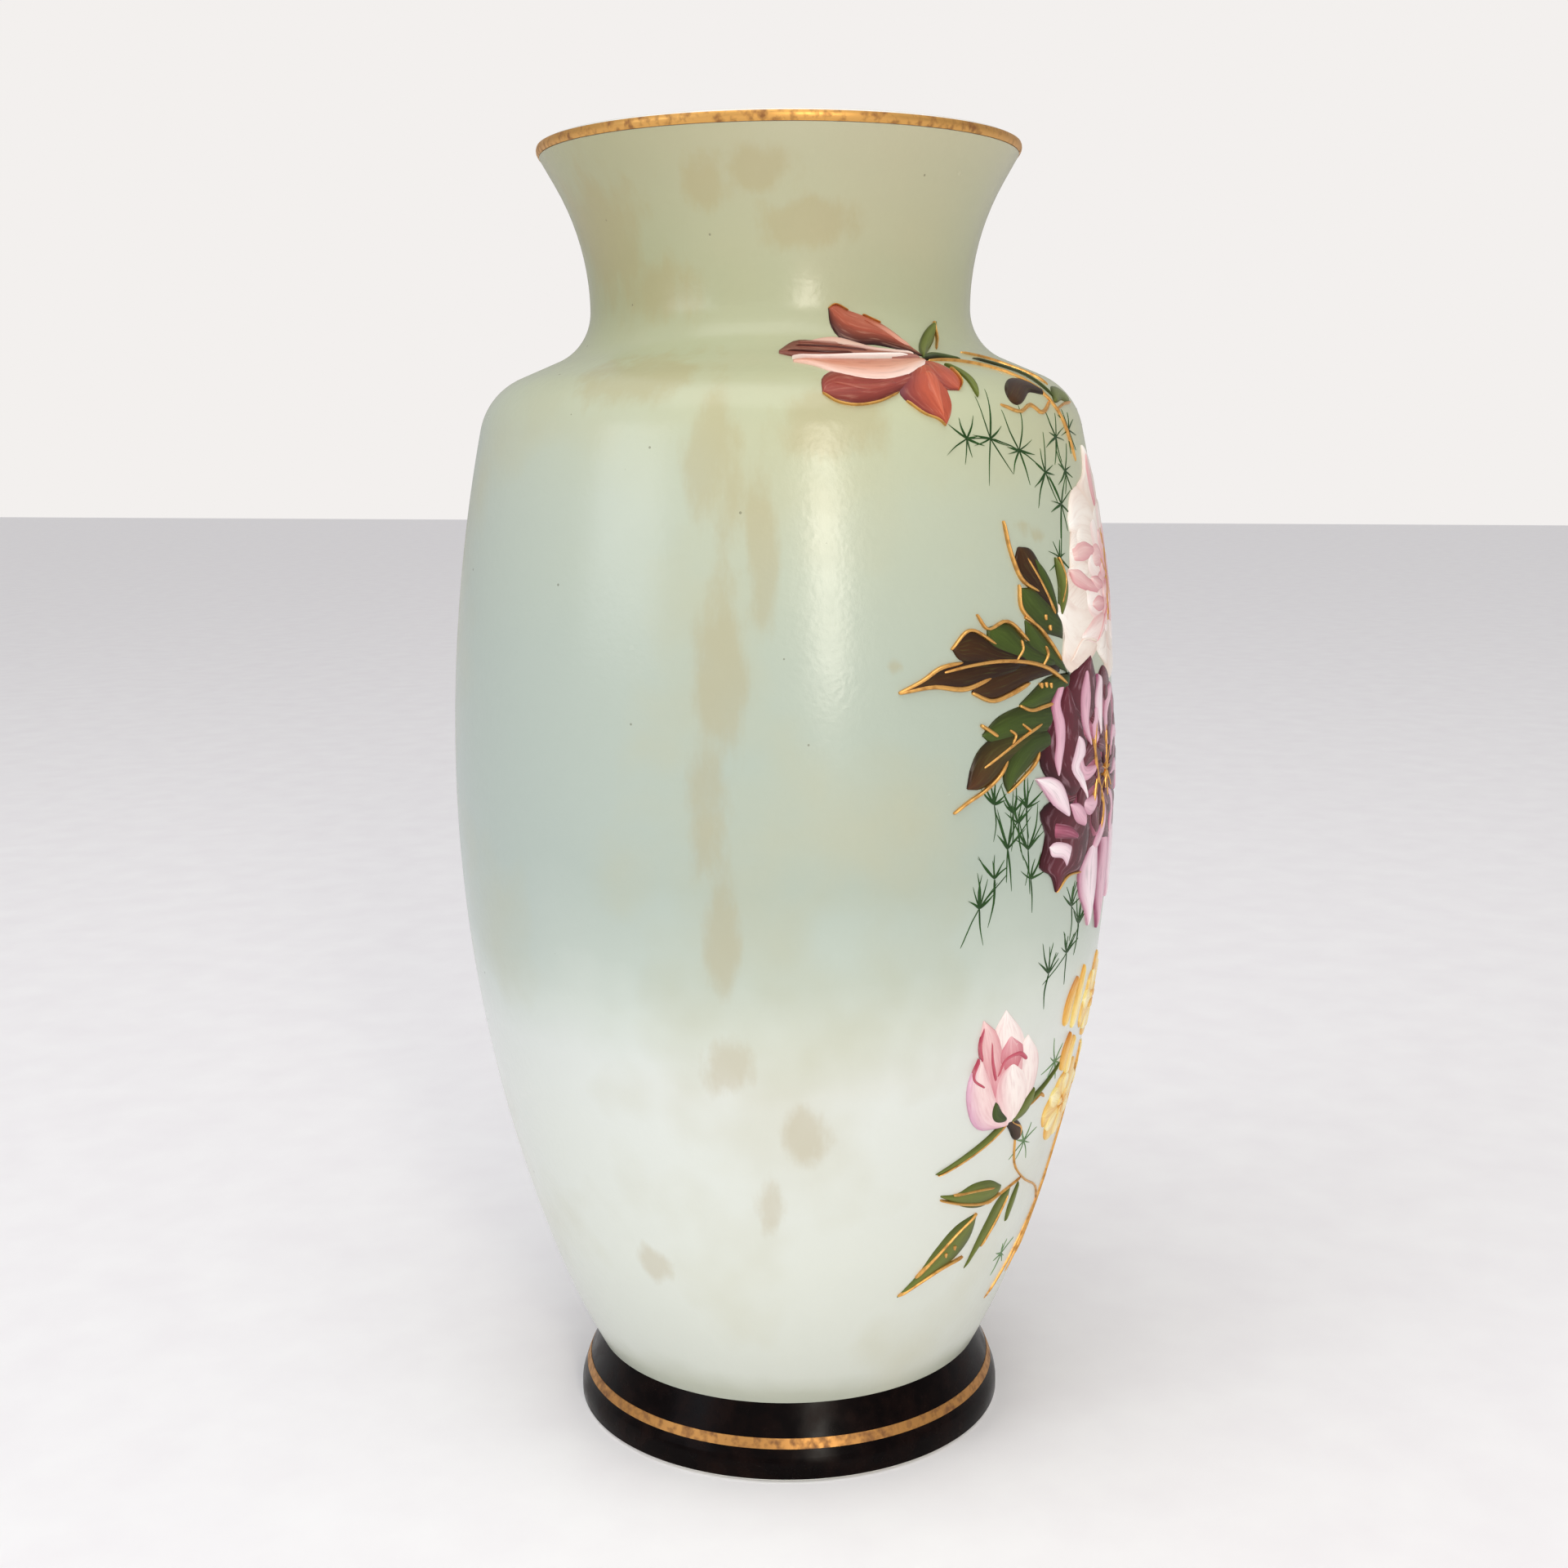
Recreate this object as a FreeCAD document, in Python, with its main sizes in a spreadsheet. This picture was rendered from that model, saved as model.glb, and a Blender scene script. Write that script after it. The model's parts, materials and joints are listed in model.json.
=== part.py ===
import FreeCAD, Part
import math
import os
import Sketcher

# Opal-glass flower vase: a blown body with a flared neck on an applied foot, with its fired
# ground colour, gilt bands and raised-enamel flowers as separate pieces.
# Frame: millimetres, +Z up along the vase's axis, origin on the surface it stands on.
# The painted front faces -Y. A turn is in degrees about +Z, from the front towards +X.

# Driving dimensions: name, value, meaning. Lengths are in mm and angles in degrees.
SIZES = [
    ("height", 330, "foot to lip"),
    ("wall", 3, "thickness of the blown wall"),
    ("foot_height", 19, "table to the crease where the body meets the foot"),
    ("heel_arc", 200, "radius of the outline just above the foot"),
    ("heel_height", 45, "height where the heel turns into the lower body"),
    ("lower_arc", 381, "radius of the outline below the belly"),
    ("belly_radius", 85.3, "widest radius of the glass"),
    ("belly_height", 173, "height of the belly"),
    ("upper_arc", 423, "radius of the outline above the belly"),
    ("shoulder_arc", 17.3, "radius of the shoulder's turn"),
    ("shoulder_slope", 67, "lean of the shoulder from upright"),
    ("throat_arc", 14, "radius of the hollow at the base of the neck"),
    ("waist_radius", 47.8, "narrowest radius of the neck"),
    ("waist_height", 290, "height of the narrowest part of the neck"),
    ("flare_arc", 62, "radius of the outline that opens the neck"),
    ("flare_slope", 30, "lean of the lip from upright"),
    ("floor_height", 28, "table to the glass floor inside"),
    ("floor_round", 14, "radius between the floor and the wall inside"),
    ("foot_radius", 57, "widest radius of the glass foot"),
    ("foot_slope", 22, "lean of the foot's side from upright"),
    ("foot_turn", 10, "radius that turns the foot's side upright"),
    ("foot_edge", 1.5, "radius of the foot's lower edge"),
    ("ring_radius", 49, "inner radius of the ring that the vase stands on"),
    ("dish_depth", 7, "depth of the hollow under the foot"),
    ("coat", 0.25, "thickness of the fired ground colour and of the foot's enamel"),
    ("coat_top", 327.1, "height where the ground colour stops and the lip's gold band starts"),
    ("enamel_bottom", 1, "height where the foot's enamel stops"),
    ("gilding", 0.12, "thickness of the gold bands"),
    ("foot_band_bottom", 8.4, "lower edge of the foot's gold band"),
    ("foot_band_top", 10.8, "upper edge of the foot's gold band"),
    ("rim_band_wrap", 28, "how far the lip's gold band wraps over the edge, up from level"),
    ("relief", 0.9, "height of the raised enamel over the ground colour"),
    ("plug_depth", 8, "how far the plugs that cut the raised enamel reach in and out"),
]

# Radius of the lip's round edge to its centre, and of the foot's side, at a height.
LIP_LINE = (
    "sizes.waist_radius + sizes.flare_arc * (1 - cos(sizes.flare_slope * 1 deg))"
    " + ({height} - sizes.waist_height - sizes.flare_arc * sin(sizes.flare_slope * 1 deg))"
    " * tan(sizes.flare_slope * 1 deg)"
)
FOOT_LINE = (
    "sizes.foot_radius - sizes.foot_turn * (1 - cos(sizes.foot_slope * 1 deg))"
    " - ({height} - sizes.foot_edge - 1 - sizes.foot_turn * sin(sizes.foot_slope * 1 deg))"
    " * tan(sizes.foot_slope * 1 deg)"
)

# Raised enamel. Each dab is an oval: turn, height, half length, half width, lean from upright.
STROKES = {
    "rosebud_rust": [
        (-61, 274, 13, 8, 84), (-52, 280, 15, 8, 100), (-49, 270, 17, 8, 78), (-40, 275, 7, 6, 90),
    ],
    "rosebud_pink": [(-32, 107, 16, 9, 0), (-26, 109, 14, 7, -12)],
    "rosebud_side": [(42, 240, 15, 9, 25), (46, 236, 13, 7, 45)],
    "leaves": [
        (-26, 227, 14, 5, -35), (-18, 222, 8, 3.5, -10), (-24, 213, 12, 4, -45),
        (-42, 205, 18, 7, 78), (-27, 204, 14, 7, 75), (-35, 184, 16, 7, 60), (-13, 264, 10, 3, -60),
        (-27, 74, 16, 4, -81), (-34, 60, 17, 5, 60), (-24, 62, 11, 4, 35),
        (33, 214, 15, 6, -70), (36, 196, 17, 7, -85), (34, 172, 16, 7, -105), (26, 246, 12, 4, -40),
        (22, 84, 14, 5, -60), (28, 66, 15, 5, -50), (17, 62, 11, 4, -30),
    ],
}

# Gilt stems. Each length is a straight bar: turn, height, half length, half width, lean from upright.
STEMS = [
    (-28, 275, 9, 0.8, 90), (-12, 262, 10, 0.8, 125), (-6, 252, 8, 0.8, 150),
    (-24, 95, 15, 0.8, 48), (-22, 82, 7, 0.8, 0), (-14, 71, 11, 0.8, 118), (-8, 58, 12, 0.8, 10),
    (-13, 40, 12, 0.8, 28), (30, 226, 12, 0.8, 40), (12, 62, 16, 0.8, -20), (5, 42, 12, 0.8, -14),
]

# Open flowers: turn, height, radius of the ring of petals, half length of a petal, petals.
BLOOMS = {
    "white_peony": [(5, 221, 16, 15, 8)],
    "plum_peony": [(-3, 175, 13, 13, 7)],
    "yellow_blossoms": [(4, 116, 7, 6, 6), (-7, 90, 6.5, 5.5, 6), (16, 92, 7, 6, 6)],
}

OVAL_CELLS = ("turn", "level", "half_length", "half_width", "lean")
BLOOM_CELLS = ("turn", "level", "ring", "petal", "count")
X_WAY = FreeCAD.Vector(1, 0, 0)
Y_WAY = FreeCAD.Vector(0, 1, 0)
Z_WAY = FreeCAD.Vector(0, 0, 1)
# Turns an outline drawn in its own plane so that its length stands up and it faces local -Y.
LENGTH_UP = FreeCAD.Placement(FreeCAD.Vector(), FreeCAD.Rotation(X_WAY, 90) * FreeCAD.Rotation(Z_WAY, 90))
ORIGIN = -1
Y_AXIS = -2
START = 1
END = 2
CENTRE = 3
MM3_PER_CM3 = 1000


def painted_cells():
    """Rows of the sheet for the raised enamel: one for each number of each oval or flower."""
    groups = ((STROKES, OVAL_CELLS), ({"stems": STEMS}, OVAL_CELLS), (BLOOMS, BLOOM_CELLS))
    for tables, cells in groups:
        for name, rows in tables.items():
            for number, values in enumerate(rows, start=1):
                for cell, value in zip(cells, values):
                    yield f"{name}_{number}_{cell}", value, f"{name} {number}: {cell}"


def make_sheet(doc):
    """Write the driving dimensions into the document's spreadsheet."""
    sheet = doc.addObject("Spreadsheet::Sheet", "sizes")
    for row, (alias, value, meaning) in enumerate([*SIZES, *painted_cells()], start=1):
        sheet.set(f"A{row}", meaning)
        sheet.set(f"B{row}", str(value))
        sheet.setAlias(f"B{row}", alias)
    doc.recompute()
    return sheet


def total(sheet, build_up):
    """Add up cells of the sheet: build_up maps an alias to +1 or -1."""
    return sum(sign * sheet.get(alias) for alias, sign in build_up.items())


def expression(build_up, *more):
    """The same sum as an expression, with further terms in front of it."""
    terms = list(more) + [f"{sign} * sizes.{alias}" for alias, sign in build_up.items()]
    return " + ".join(terms)


def along(angle):
    """A unit vector in the sketch at an angle in radians."""
    return FreeCAD.Vector(math.cos(angle), math.sin(angle), 0)


def drive(sketch, name, value, *where):
    """Add a named dimension to a sketch and bind it to the sheet."""
    kind, *geometry = where
    number = float(sketch.evalExpression(value))
    size = math.radians(number) if kind == "Angle" else number
    index = sketch.addConstraint(Sketcher.Constraint(kind, *geometry, size))
    sketch.renameConstraint(index, name)
    sketch.setExpression(f"Constraints.{name}", value)


class Outline:
    """Centres and radii of the arcs of the vase's outline, a given thickness out from the glass."""

    def __init__(self, sheet, build_up):
        out = total(sheet, build_up)
        belly = FreeCAD.Vector(sheet.get("belly_radius") + out, sheet.get("belly_height"), 0)
        waist = FreeCAD.Vector(sheet.get("waist_radius") + out, sheet.get("waist_height"), 0)
        self.slope = math.radians(sheet.get("shoulder_slope"))
        self.flare = math.radians(sheet.get("flare_slope"))
        self.radius = {
            name: sheet.get(f"{name}_arc") + out for name in ("heel", "lower", "upper", "shoulder")
        }
        self.radius["throat"] = sheet.get("throat_arc") - out
        self.radius["open"] = sheet.get("flare_arc") - out
        self.centre = {
            "lower": belly - self.radius["lower"] * along(0),
            "upper": belly - self.radius["upper"] * along(0),
            "throat": waist + self.radius["throat"] * along(0),
            "open": waist + self.radius["open"] * along(0),
        }
        drop = belly.y - sheet.get("heel_height")
        self.heel_turn = -math.asin(drop / self.radius["lower"])
        reach = self.radius["lower"] - self.radius["heel"]
        self.centre["heel"] = self.centre["lower"] + reach * along(self.heel_turn)
        self.centre["shoulder"] = self.shoulder_centre()
        self.upper_turn = self.bearing("upper", self.centre["shoulder"])

    def shoulder_centre(self):
        """Slide the shoulder's arc down the sloping line until it also touches the upper arc."""
        facing = along(self.slope)
        start = self.centre["throat"] - (self.radius["throat"] + self.radius["shoulder"]) * facing
        down = along(self.slope - math.pi / 2)
        gap = start - self.centre["upper"]
        reach = self.radius["upper"] - self.radius["shoulder"]
        slide = math.sqrt(gap.dot(down) ** 2 - gap.dot(gap) + reach ** 2) - gap.dot(down)
        return start + slide * down

    def bearing(self, arc, point):
        """Angle of a point seen from an arc's centre."""
        sight = point - self.centre[arc]
        return math.atan2(sight.y, sight.x)

    def at(self, arc, angle):
        """Point of an arc at an angle."""
        return self.centre[arc] + self.radius[arc] * along(angle)

    def draw(self, sketch, arc, start, end):
        """Add the stretch of an arc between two angles to a sketch."""
        return add_arc(sketch, self.centre[arc], self.radius[arc], start, end)

    def heel_angle(self, height):
        """Angle of the heel's arc at a height."""
        return math.asin((height - self.centre["heel"].y) / self.radius["heel"])


def add_arc(sketch, centre, radius, start, end):
    """Add an arc that runs anticlockwise from one angle to another."""
    circle = Part.Circle(centre, FreeCAD.Vector(0, 0, 1), radius)
    return sketch.addGeometry(Part.ArcOfCircle(circle, start, end))


def add_line(sketch, start, end):
    """Add a straight line."""
    return sketch.addGeometry(Part.LineSegment(start, end))


def join(sketch, *ends, smooth=False):
    """Join two ends of geometry at a corner or, if smooth, in tangency."""
    sketch.addConstraint(Sketcher.Constraint("Tangent" if smooth else "Coincident", *ends))


def add_wall(sketch, sheet, name, build_up, bottom):
    """Draw the vase's outline from the heel to the lip, and return its first and last pieces.

    The outline is moved out by build_up. The caller joins its top end to what closes it, and its
    bottom end too where bottom is None.
    """
    line = Outline(sheet, build_up)
    start_angle = line.heel_angle(sheet.get(bottom or "floor_height"))
    heel = line.draw(sketch, "heel", start_angle, line.heel_turn)
    lower = line.draw(sketch, "lower", line.heel_turn, 0)
    upper = line.draw(sketch, "upper", 0, line.upper_turn)
    shoulder = line.draw(sketch, "shoulder", line.upper_turn, line.slope)
    slope = add_line(sketch, line.at("shoulder", line.slope), line.at("throat", math.pi + line.slope))
    throat = line.draw(sketch, "throat", math.pi, math.pi + line.slope)
    opening = line.draw(sketch, "open", math.pi - line.flare, math.pi)
    top = line.at("open", math.pi - line.flare)
    rise = sheet.get("coat_top") - top.y
    lip = add_line(sketch, top, top + FreeCAD.Vector(rise * math.tan(line.flare), rise, 0))

    join(sketch, heel, END, lower, START, smooth=True)
    join(sketch, lower, END, upper, START, smooth=True)
    join(sketch, upper, END, shoulder, START, smooth=True)
    join(sketch, shoulder, END, slope, START, smooth=True)
    join(sketch, slope, END, throat, END, smooth=True)
    join(sketch, throat, START, opening, END, smooth=True)
    join(sketch, opening, START, lip, START, smooth=True)
    sketch.addConstraint(Sketcher.Constraint("Horizontal", lower, CENTRE, lower, END))
    sketch.addConstraint(Sketcher.Constraint("Horizontal", throat, CENTRE, throat, START))

    arcs = {"heel": heel, "lower": lower, "upper": upper, "shoulder": shoulder}
    for part, piece in arcs.items():
        drive(sketch, f"{name}_{part}", expression(build_up, f"sizes.{part}_arc"), "Radius", piece)
    inward = {alias: -sign for alias, sign in build_up.items()}
    drive(sketch, f"{name}_throat", expression(inward, "sizes.throat_arc"), "Radius", throat)
    drive(sketch, f"{name}_opening", expression(inward, "sizes.flare_arc"), "Radius", opening)
    belly = expression(build_up, "sizes.belly_radius")
    waist = expression(build_up, "sizes.waist_radius")
    drive(sketch, f"{name}_belly_radius", belly, "DistanceX", ORIGIN, START, lower, END)
    drive(sketch, f"{name}_waist_radius", waist, "DistanceX", ORIGIN, START, throat, START)
    levels = {"belly": (lower, END), "waist": (throat, START), "heel": (lower, START)}
    for part, (piece, end) in levels.items():
        height = f"{part}_height"
        drive(sketch, f"{name}_{height}", f"sizes.{height}", "DistanceY", ORIGIN, START, piece, end)
    drive(sketch, f"{name}_slope", "sizes.shoulder_slope + 90", "Angle", slope)
    drive(sketch, f"{name}_flare", "90 - sizes.flare_slope", "Angle", lip)
    if bottom:
        drive(sketch, f"{name}_bottom", f"sizes.{bottom}", "DistanceY", ORIGIN, START, heel, START)
    return heel, lip


def new_body(doc, name):
    """Start a body whose profile sketch lies in the plane of the vase's axis."""
    body = doc.addObject("PartDesign::Body", name)
    body.Label = name
    sketch = body.newObject("Sketcher::SketchObject", f"{name}_profile")
    plane = next(item for item in body.Origin.OriginFeatures if item.Role == "XZ_Plane")
    sketch.AttachmentSupport = (plane, [""])
    sketch.MapMode = "FlatFace"
    return body, sketch


def spin(body, sketch):
    """Turn a closed profile about the vase's axis."""
    revolution = body.newObject("PartDesign::Revolution", f"{body.Name}_spin")
    revolution.Profile = sketch
    revolution.ReferenceAxis = (sketch, ["V_Axis"])
    revolution.Angle = 360
    sketch.Visibility = False
    body.Placement = FreeCAD.Placement()
    return body


def geometry_end(sketch, piece, end):
    """Where a piece of a sketch's geometry starts or ends."""
    geometry = sketch.Geometry[piece]
    return geometry.StartPoint if end == START else geometry.EndPoint


def bridge(sketch, near, near_end, far, far_end):
    """Join the ends of two pieces of geometry with a straight line, and return the line."""
    line = add_line(sketch, geometry_end(sketch, near, near_end), geometry_end(sketch, far, far_end))
    join(sketch, line, START, near, near_end)
    join(sketch, line, END, far, far_end)
    return line


def make_glass_body(doc, sheet):
    """The blown vessel: outline outside, the same outline a wall's thickness in, and a round lip."""
    body, sketch = new_body(doc, "glass_body")
    heel, lip = add_wall(sketch, sheet, "outside", {}, "foot_height")
    inner_heel, inner_lip = add_wall(sketch, sheet, "inside", {"wall": -1}, None)

    flare = math.radians(sheet.get("flare_slope"))
    bead = sheet.get("wall") / 2
    over = geometry_end(sketch, lip, END)
    centre = over - bead * along(-flare)
    edge = add_arc(sketch, centre, bead, -flare, math.pi - flare)
    join(sketch, lip, END, edge, START, smooth=True)
    join(sketch, edge, END, inner_lip, END, smooth=True)
    drive(sketch, "lip_height", "sizes.height - sizes.wall / 2", "DistanceY", ORIGIN, START, edge, CENTRE)

    low = geometry_end(sketch, inner_heel, START)
    turn = sheet.get("floor_round")
    floor_height = sheet.get("floor_height")
    corner = FreeCAD.Vector(low.x - turn, floor_height + turn, 0)
    rounding = add_arc(sketch, corner, turn, -math.pi / 2, math.radians(-30))
    middle = FreeCAD.Vector(0, floor_height, 0)
    under = FreeCAD.Vector(0, sheet.get("foot_height"), 0)
    floor = add_line(sketch, middle, FreeCAD.Vector(corner.x, floor_height, 0))
    axis = add_line(sketch, under, middle)
    base = add_line(sketch, under, geometry_end(sketch, heel, START))
    join(sketch, rounding, END, inner_heel, START, smooth=True)
    join(sketch, floor, END, rounding, START, smooth=True)
    join(sketch, floor, START, axis, END)
    join(sketch, base, START, axis, START)
    join(sketch, base, END, heel, START)
    for piece, end in ((axis, START), (axis, END)):
        sketch.addConstraint(Sketcher.Constraint("PointOnObject", piece, end, Y_AXIS))
    sketch.addConstraint(Sketcher.Constraint("Horizontal", floor))
    sketch.addConstraint(Sketcher.Constraint("Horizontal", base))
    drive(sketch, "floor_turn", "sizes.floor_round", "Radius", rounding)
    drive(sketch, "floor_height", "sizes.floor_height", "DistanceY", ORIGIN, START, floor, START)
    return spin(body, sketch)


def make_layer(doc, sheet, name, inner, outer):
    """A skin of even thickness over the whole outside of the body, from the foot to under the lip."""
    body, sketch = new_body(doc, name)
    near_heel, near_lip = add_wall(sketch, sheet, "near", inner, "foot_height")
    far_heel, far_lip = add_wall(sketch, sheet, "far", outer, "foot_height")
    bridge(sketch, near_heel, START, far_heel, START)
    above = bridge(sketch, near_lip, END, far_lip, END)
    sketch.addConstraint(Sketcher.Constraint("Horizontal", above))
    drive(sketch, "top", "sizes.coat_top", "DistanceY", ORIGIN, START, near_lip, END)
    return spin(body, sketch)


def foot_side(sketch, sheet, name, build_up, bottom):
    """Draw the foot's side from the crease down to a height, and return its first and last pieces."""
    out = total(sheet, build_up)
    slope = math.radians(sheet.get("foot_slope"))
    turn = sheet.get("foot_turn") + out
    upright = sheet.get("foot_radius") + out
    turn_height = sheet.get("foot_edge") + 1
    centre = FreeCAD.Vector(upright - turn, turn_height, 0)
    shoulder = centre + turn * along(slope)
    rise = sheet.get("foot_height") - shoulder.y
    crease = shoulder + FreeCAD.Vector(-rise * math.tan(slope), rise, 0)
    side = add_line(sketch, shoulder, crease)
    curve = add_arc(sketch, centre, turn, 0, slope)
    low = FreeCAD.Vector(upright, sheet.get(bottom), 0)
    drop = add_line(sketch, low, FreeCAD.Vector(upright, turn_height, 0))
    join(sketch, curve, END, side, START, smooth=True)
    join(sketch, drop, END, curve, START, smooth=True)
    sketch.addConstraint(Sketcher.Constraint("Vertical", drop))
    reach = expression(build_up, "sizes.foot_radius")
    drive(sketch, f"{name}_turn", expression(build_up, "sizes.foot_turn"), "Radius", curve)
    drive(sketch, f"{name}_slope", "sizes.foot_slope + 90", "Angle", side)
    drive(sketch, f"{name}_radius", reach, "DistanceX", ORIGIN, START, drop, END)
    drive(sketch, f"{name}_turn_height", "sizes.foot_edge + 1", "DistanceY", ORIGIN, START, drop, END)
    drive(sketch, f"{name}_crease", "sizes.foot_height", "DistanceY", ORIGIN, START, side, END)
    drive(sketch, f"{name}_bottom", f"sizes.{bottom}", "DistanceY", ORIGIN, START, drop, START)
    return side, drop


def make_glass_foot(doc, sheet):
    """The applied foot: a spread side, a round lower edge, a flat resting ring and a dished underside."""
    body, sketch = new_body(doc, "glass_foot")
    side, drop = foot_side(sketch, sheet, "side", {}, "foot_edge")
    crease = geometry_end(sketch, side, END)
    low = geometry_end(sketch, drop, START)
    edge_radius = sheet.get("foot_edge")
    centre = low - FreeCAD.Vector(edge_radius, 0, 0)
    edge = add_arc(sketch, centre, edge_radius, -math.pi / 2, 0)
    ring_radius = sheet.get("ring_radius")
    depth = sheet.get("dish_depth")
    inner = FreeCAD.Vector(ring_radius, 0, 0)
    ring = add_line(sketch, inner, FreeCAD.Vector(centre.x, 0, 0))
    dish_radius = (ring_radius ** 2 + depth ** 2) / (2 * depth)
    dish_centre = FreeCAD.Vector(0, depth - dish_radius, 0)
    dish_start = math.atan2(-dish_centre.y, ring_radius)
    dish = add_arc(sketch, dish_centre, dish_radius, dish_start, math.pi / 2)
    top_height = FreeCAD.Vector(0, sheet.get("foot_height"), 0)
    axis = add_line(sketch, FreeCAD.Vector(0, depth, 0), top_height)
    top = add_line(sketch, top_height, crease)
    join(sketch, edge, END, drop, START, smooth=True)
    join(sketch, ring, END, edge, START, smooth=True)
    join(sketch, ring, START, dish, START)
    join(sketch, dish, END, axis, START)
    join(sketch, axis, END, top, START)
    join(sketch, top, END, side, END)
    for piece, end in ((dish, CENTRE), (axis, START), (axis, END)):
        sketch.addConstraint(Sketcher.Constraint("PointOnObject", piece, end, Y_AXIS))
    for line in (top, ring):
        sketch.addConstraint(Sketcher.Constraint("Horizontal", line))
    drive(sketch, "edge", "sizes.foot_edge", "Radius", edge)
    drive(sketch, "ring", "sizes.ring_radius", "DistanceX", ORIGIN, START, ring, START)
    drive(sketch, "depth", "sizes.dish_depth", "DistanceY", ORIGIN, START, axis, START)
    return spin(body, sketch)


def make_foot_enamel(doc, sheet):
    """The foot's dark enamel: an even skin over its side that stops just above the table."""
    body, sketch = new_body(doc, "foot_enamel")
    near_side, near_drop = foot_side(sketch, sheet, "near", {}, "enamel_bottom")
    far_side, far_drop = foot_side(sketch, sheet, "far", {"coat": 1}, "enamel_bottom")
    bridge(sketch, near_side, END, far_side, END)
    bridge(sketch, near_drop, START, far_drop, START)
    return spin(body, sketch)


def make_foot_band(doc, sheet):
    """The foot's gold band: a thin ring on the slope of the enamel between two heights."""
    body, sketch = new_body(doc, "foot_gilt_band")
    corners = []
    for skin in ("sizes.coat", "(sizes.coat + sizes.gilding)"):
        for edge in ("foot_band_bottom", "foot_band_top"):
            height = f"sizes.{edge}"
            reach = FOOT_LINE.format(height=height) + f" + {skin} / cos(sizes.foot_slope * 1 deg)"
            corners.append((reach, height))
    near_low, near_high, far_low, far_high = corners
    loop = (near_low, far_low, far_high, near_high)
    points = [
        FreeCAD.Vector(*(float(sketch.evalExpression(value)) for value in corner), 0)
        for corner in loop
    ]
    for number, (reach, height) in enumerate(loop):
        line = add_line(sketch, points[number], points[(number + 1) % len(points)])
        drive(sketch, f"reach_{number}", reach, "DistanceX", ORIGIN, START, line, START)
        drive(sketch, f"height_{number}", height, "DistanceY", ORIGIN, START, line, START)
    for line in range(len(loop)):
        join(sketch, line, END, (line + 1) % len(loop), START)
    return spin(body, sketch)


def make_rim_band(doc, sheet):
    """The lip's gold band: a thin ring up the flare of the neck and part way over its round edge."""
    body, sketch = new_body(doc, "rim_gilt_band")
    flare = math.radians(sheet.get("flare_slope"))
    wrap = math.radians(sheet.get("rim_band_wrap"))
    bead = sheet.get("wall") / 2
    mid_height = sheet.get("height") - bead
    rise = mid_height - sheet.get("waist_height") - sheet.get("flare_arc") * math.sin(flare)
    opened = sheet.get("waist_radius") + sheet.get("flare_arc") * (1 - math.cos(flare))
    reach = opened + rise * math.tan(flare)
    centre = FreeCAD.Vector(reach - bead / math.cos(flare), mid_height, 0)
    height = "(sizes.height - sizes.wall / 2)"
    centre_reach = LIP_LINE.format(height=height) + " - sizes.wall / 2 / cos(sizes.flare_slope * 1 deg)"
    skins = {"near": {}, "far": {"coat": 1, "gilding": 1}}
    pieces = {}
    for name, build_up in skins.items():
        radius = bead + total(sheet, build_up)
        arc = add_arc(sketch, centre, radius, -flare, wrap)
        touch = centre + radius * along(-flare)
        fall = touch.y - sheet.get("coat_top")
        foot = touch - FreeCAD.Vector(fall * math.tan(flare), fall, 0)
        line = add_line(sketch, foot, touch)
        join(sketch, line, END, arc, START, smooth=True)
        drive(sketch, f"{name}_radius", expression(build_up, "sizes.wall / 2"), "Radius", arc)
        drive(sketch, f"{name}_slope", "90 - sizes.flare_slope", "Angle", line)
        drive(sketch, f"{name}_bottom", "sizes.coat_top", "DistanceY", ORIGIN, START, line, START)
        drive(sketch, f"{name}_centre_height", height, "DistanceY", ORIGIN, START, arc, CENTRE)
        drive(sketch, f"{name}_centre_reach", centre_reach, "DistanceX", ORIGIN, START, arc, CENTRE)
        pieces[name] = (arc, line)
    (near_arc, near_line), (far_arc, far_line) = pieces["near"], pieces["far"]
    over = bridge(sketch, near_arc, END, far_arc, END)
    bridge(sketch, near_line, START, far_line, START)
    sketch.addConstraint(Sketcher.Constraint("PointOnObject", near_arc, CENTRE, over))
    drive(sketch, "wrap", "sizes.rim_band_wrap", "Angle", over)
    return spin(body, sketch)


def surface(sheet, height):
    """Radius of the ground colour's surface at a height, and how far it looks up, up to the waist."""
    line = Outline(sheet, {"coat": 1})
    spans = (
        ("heel", line.at("heel", line.heel_turn).y),
        ("lower", line.centre["lower"].y),
        ("upper", line.at("upper", line.upper_turn).y),
        ("shoulder", line.at("shoulder", line.slope).y),
    )
    for arc, top in spans:
        if height <= top:
            angle = math.asin((height - line.centre[arc].y) / line.radius[arc])
            return line.at(arc, angle).x, angle
    start = line.at("shoulder", line.slope)
    hollow = line.at("throat", math.pi + line.slope)
    if height <= hollow.y:
        return start.x - (height - start.y) * math.tan(line.slope), line.slope
    angle = math.asin((line.centre["throat"].y - height) / line.radius["throat"])
    return line.at("throat", math.pi + angle).x, angle


def on_surface(sheet, turn, height, lean):
    """Place on the ground colour with local -Y straight out of it and local Z leaning from upright."""
    reach, facing = surface(sheet, height)
    around = FreeCAD.Rotation(Z_WAY, turn)
    tilt = FreeCAD.Rotation(X_WAY, -math.degrees(facing))
    place = around.multVec(FreeCAD.Vector(0, -reach, height))
    return FreeCAD.Placement(place, around * tilt * FreeCAD.Rotation(Y_WAY, lean))


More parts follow.
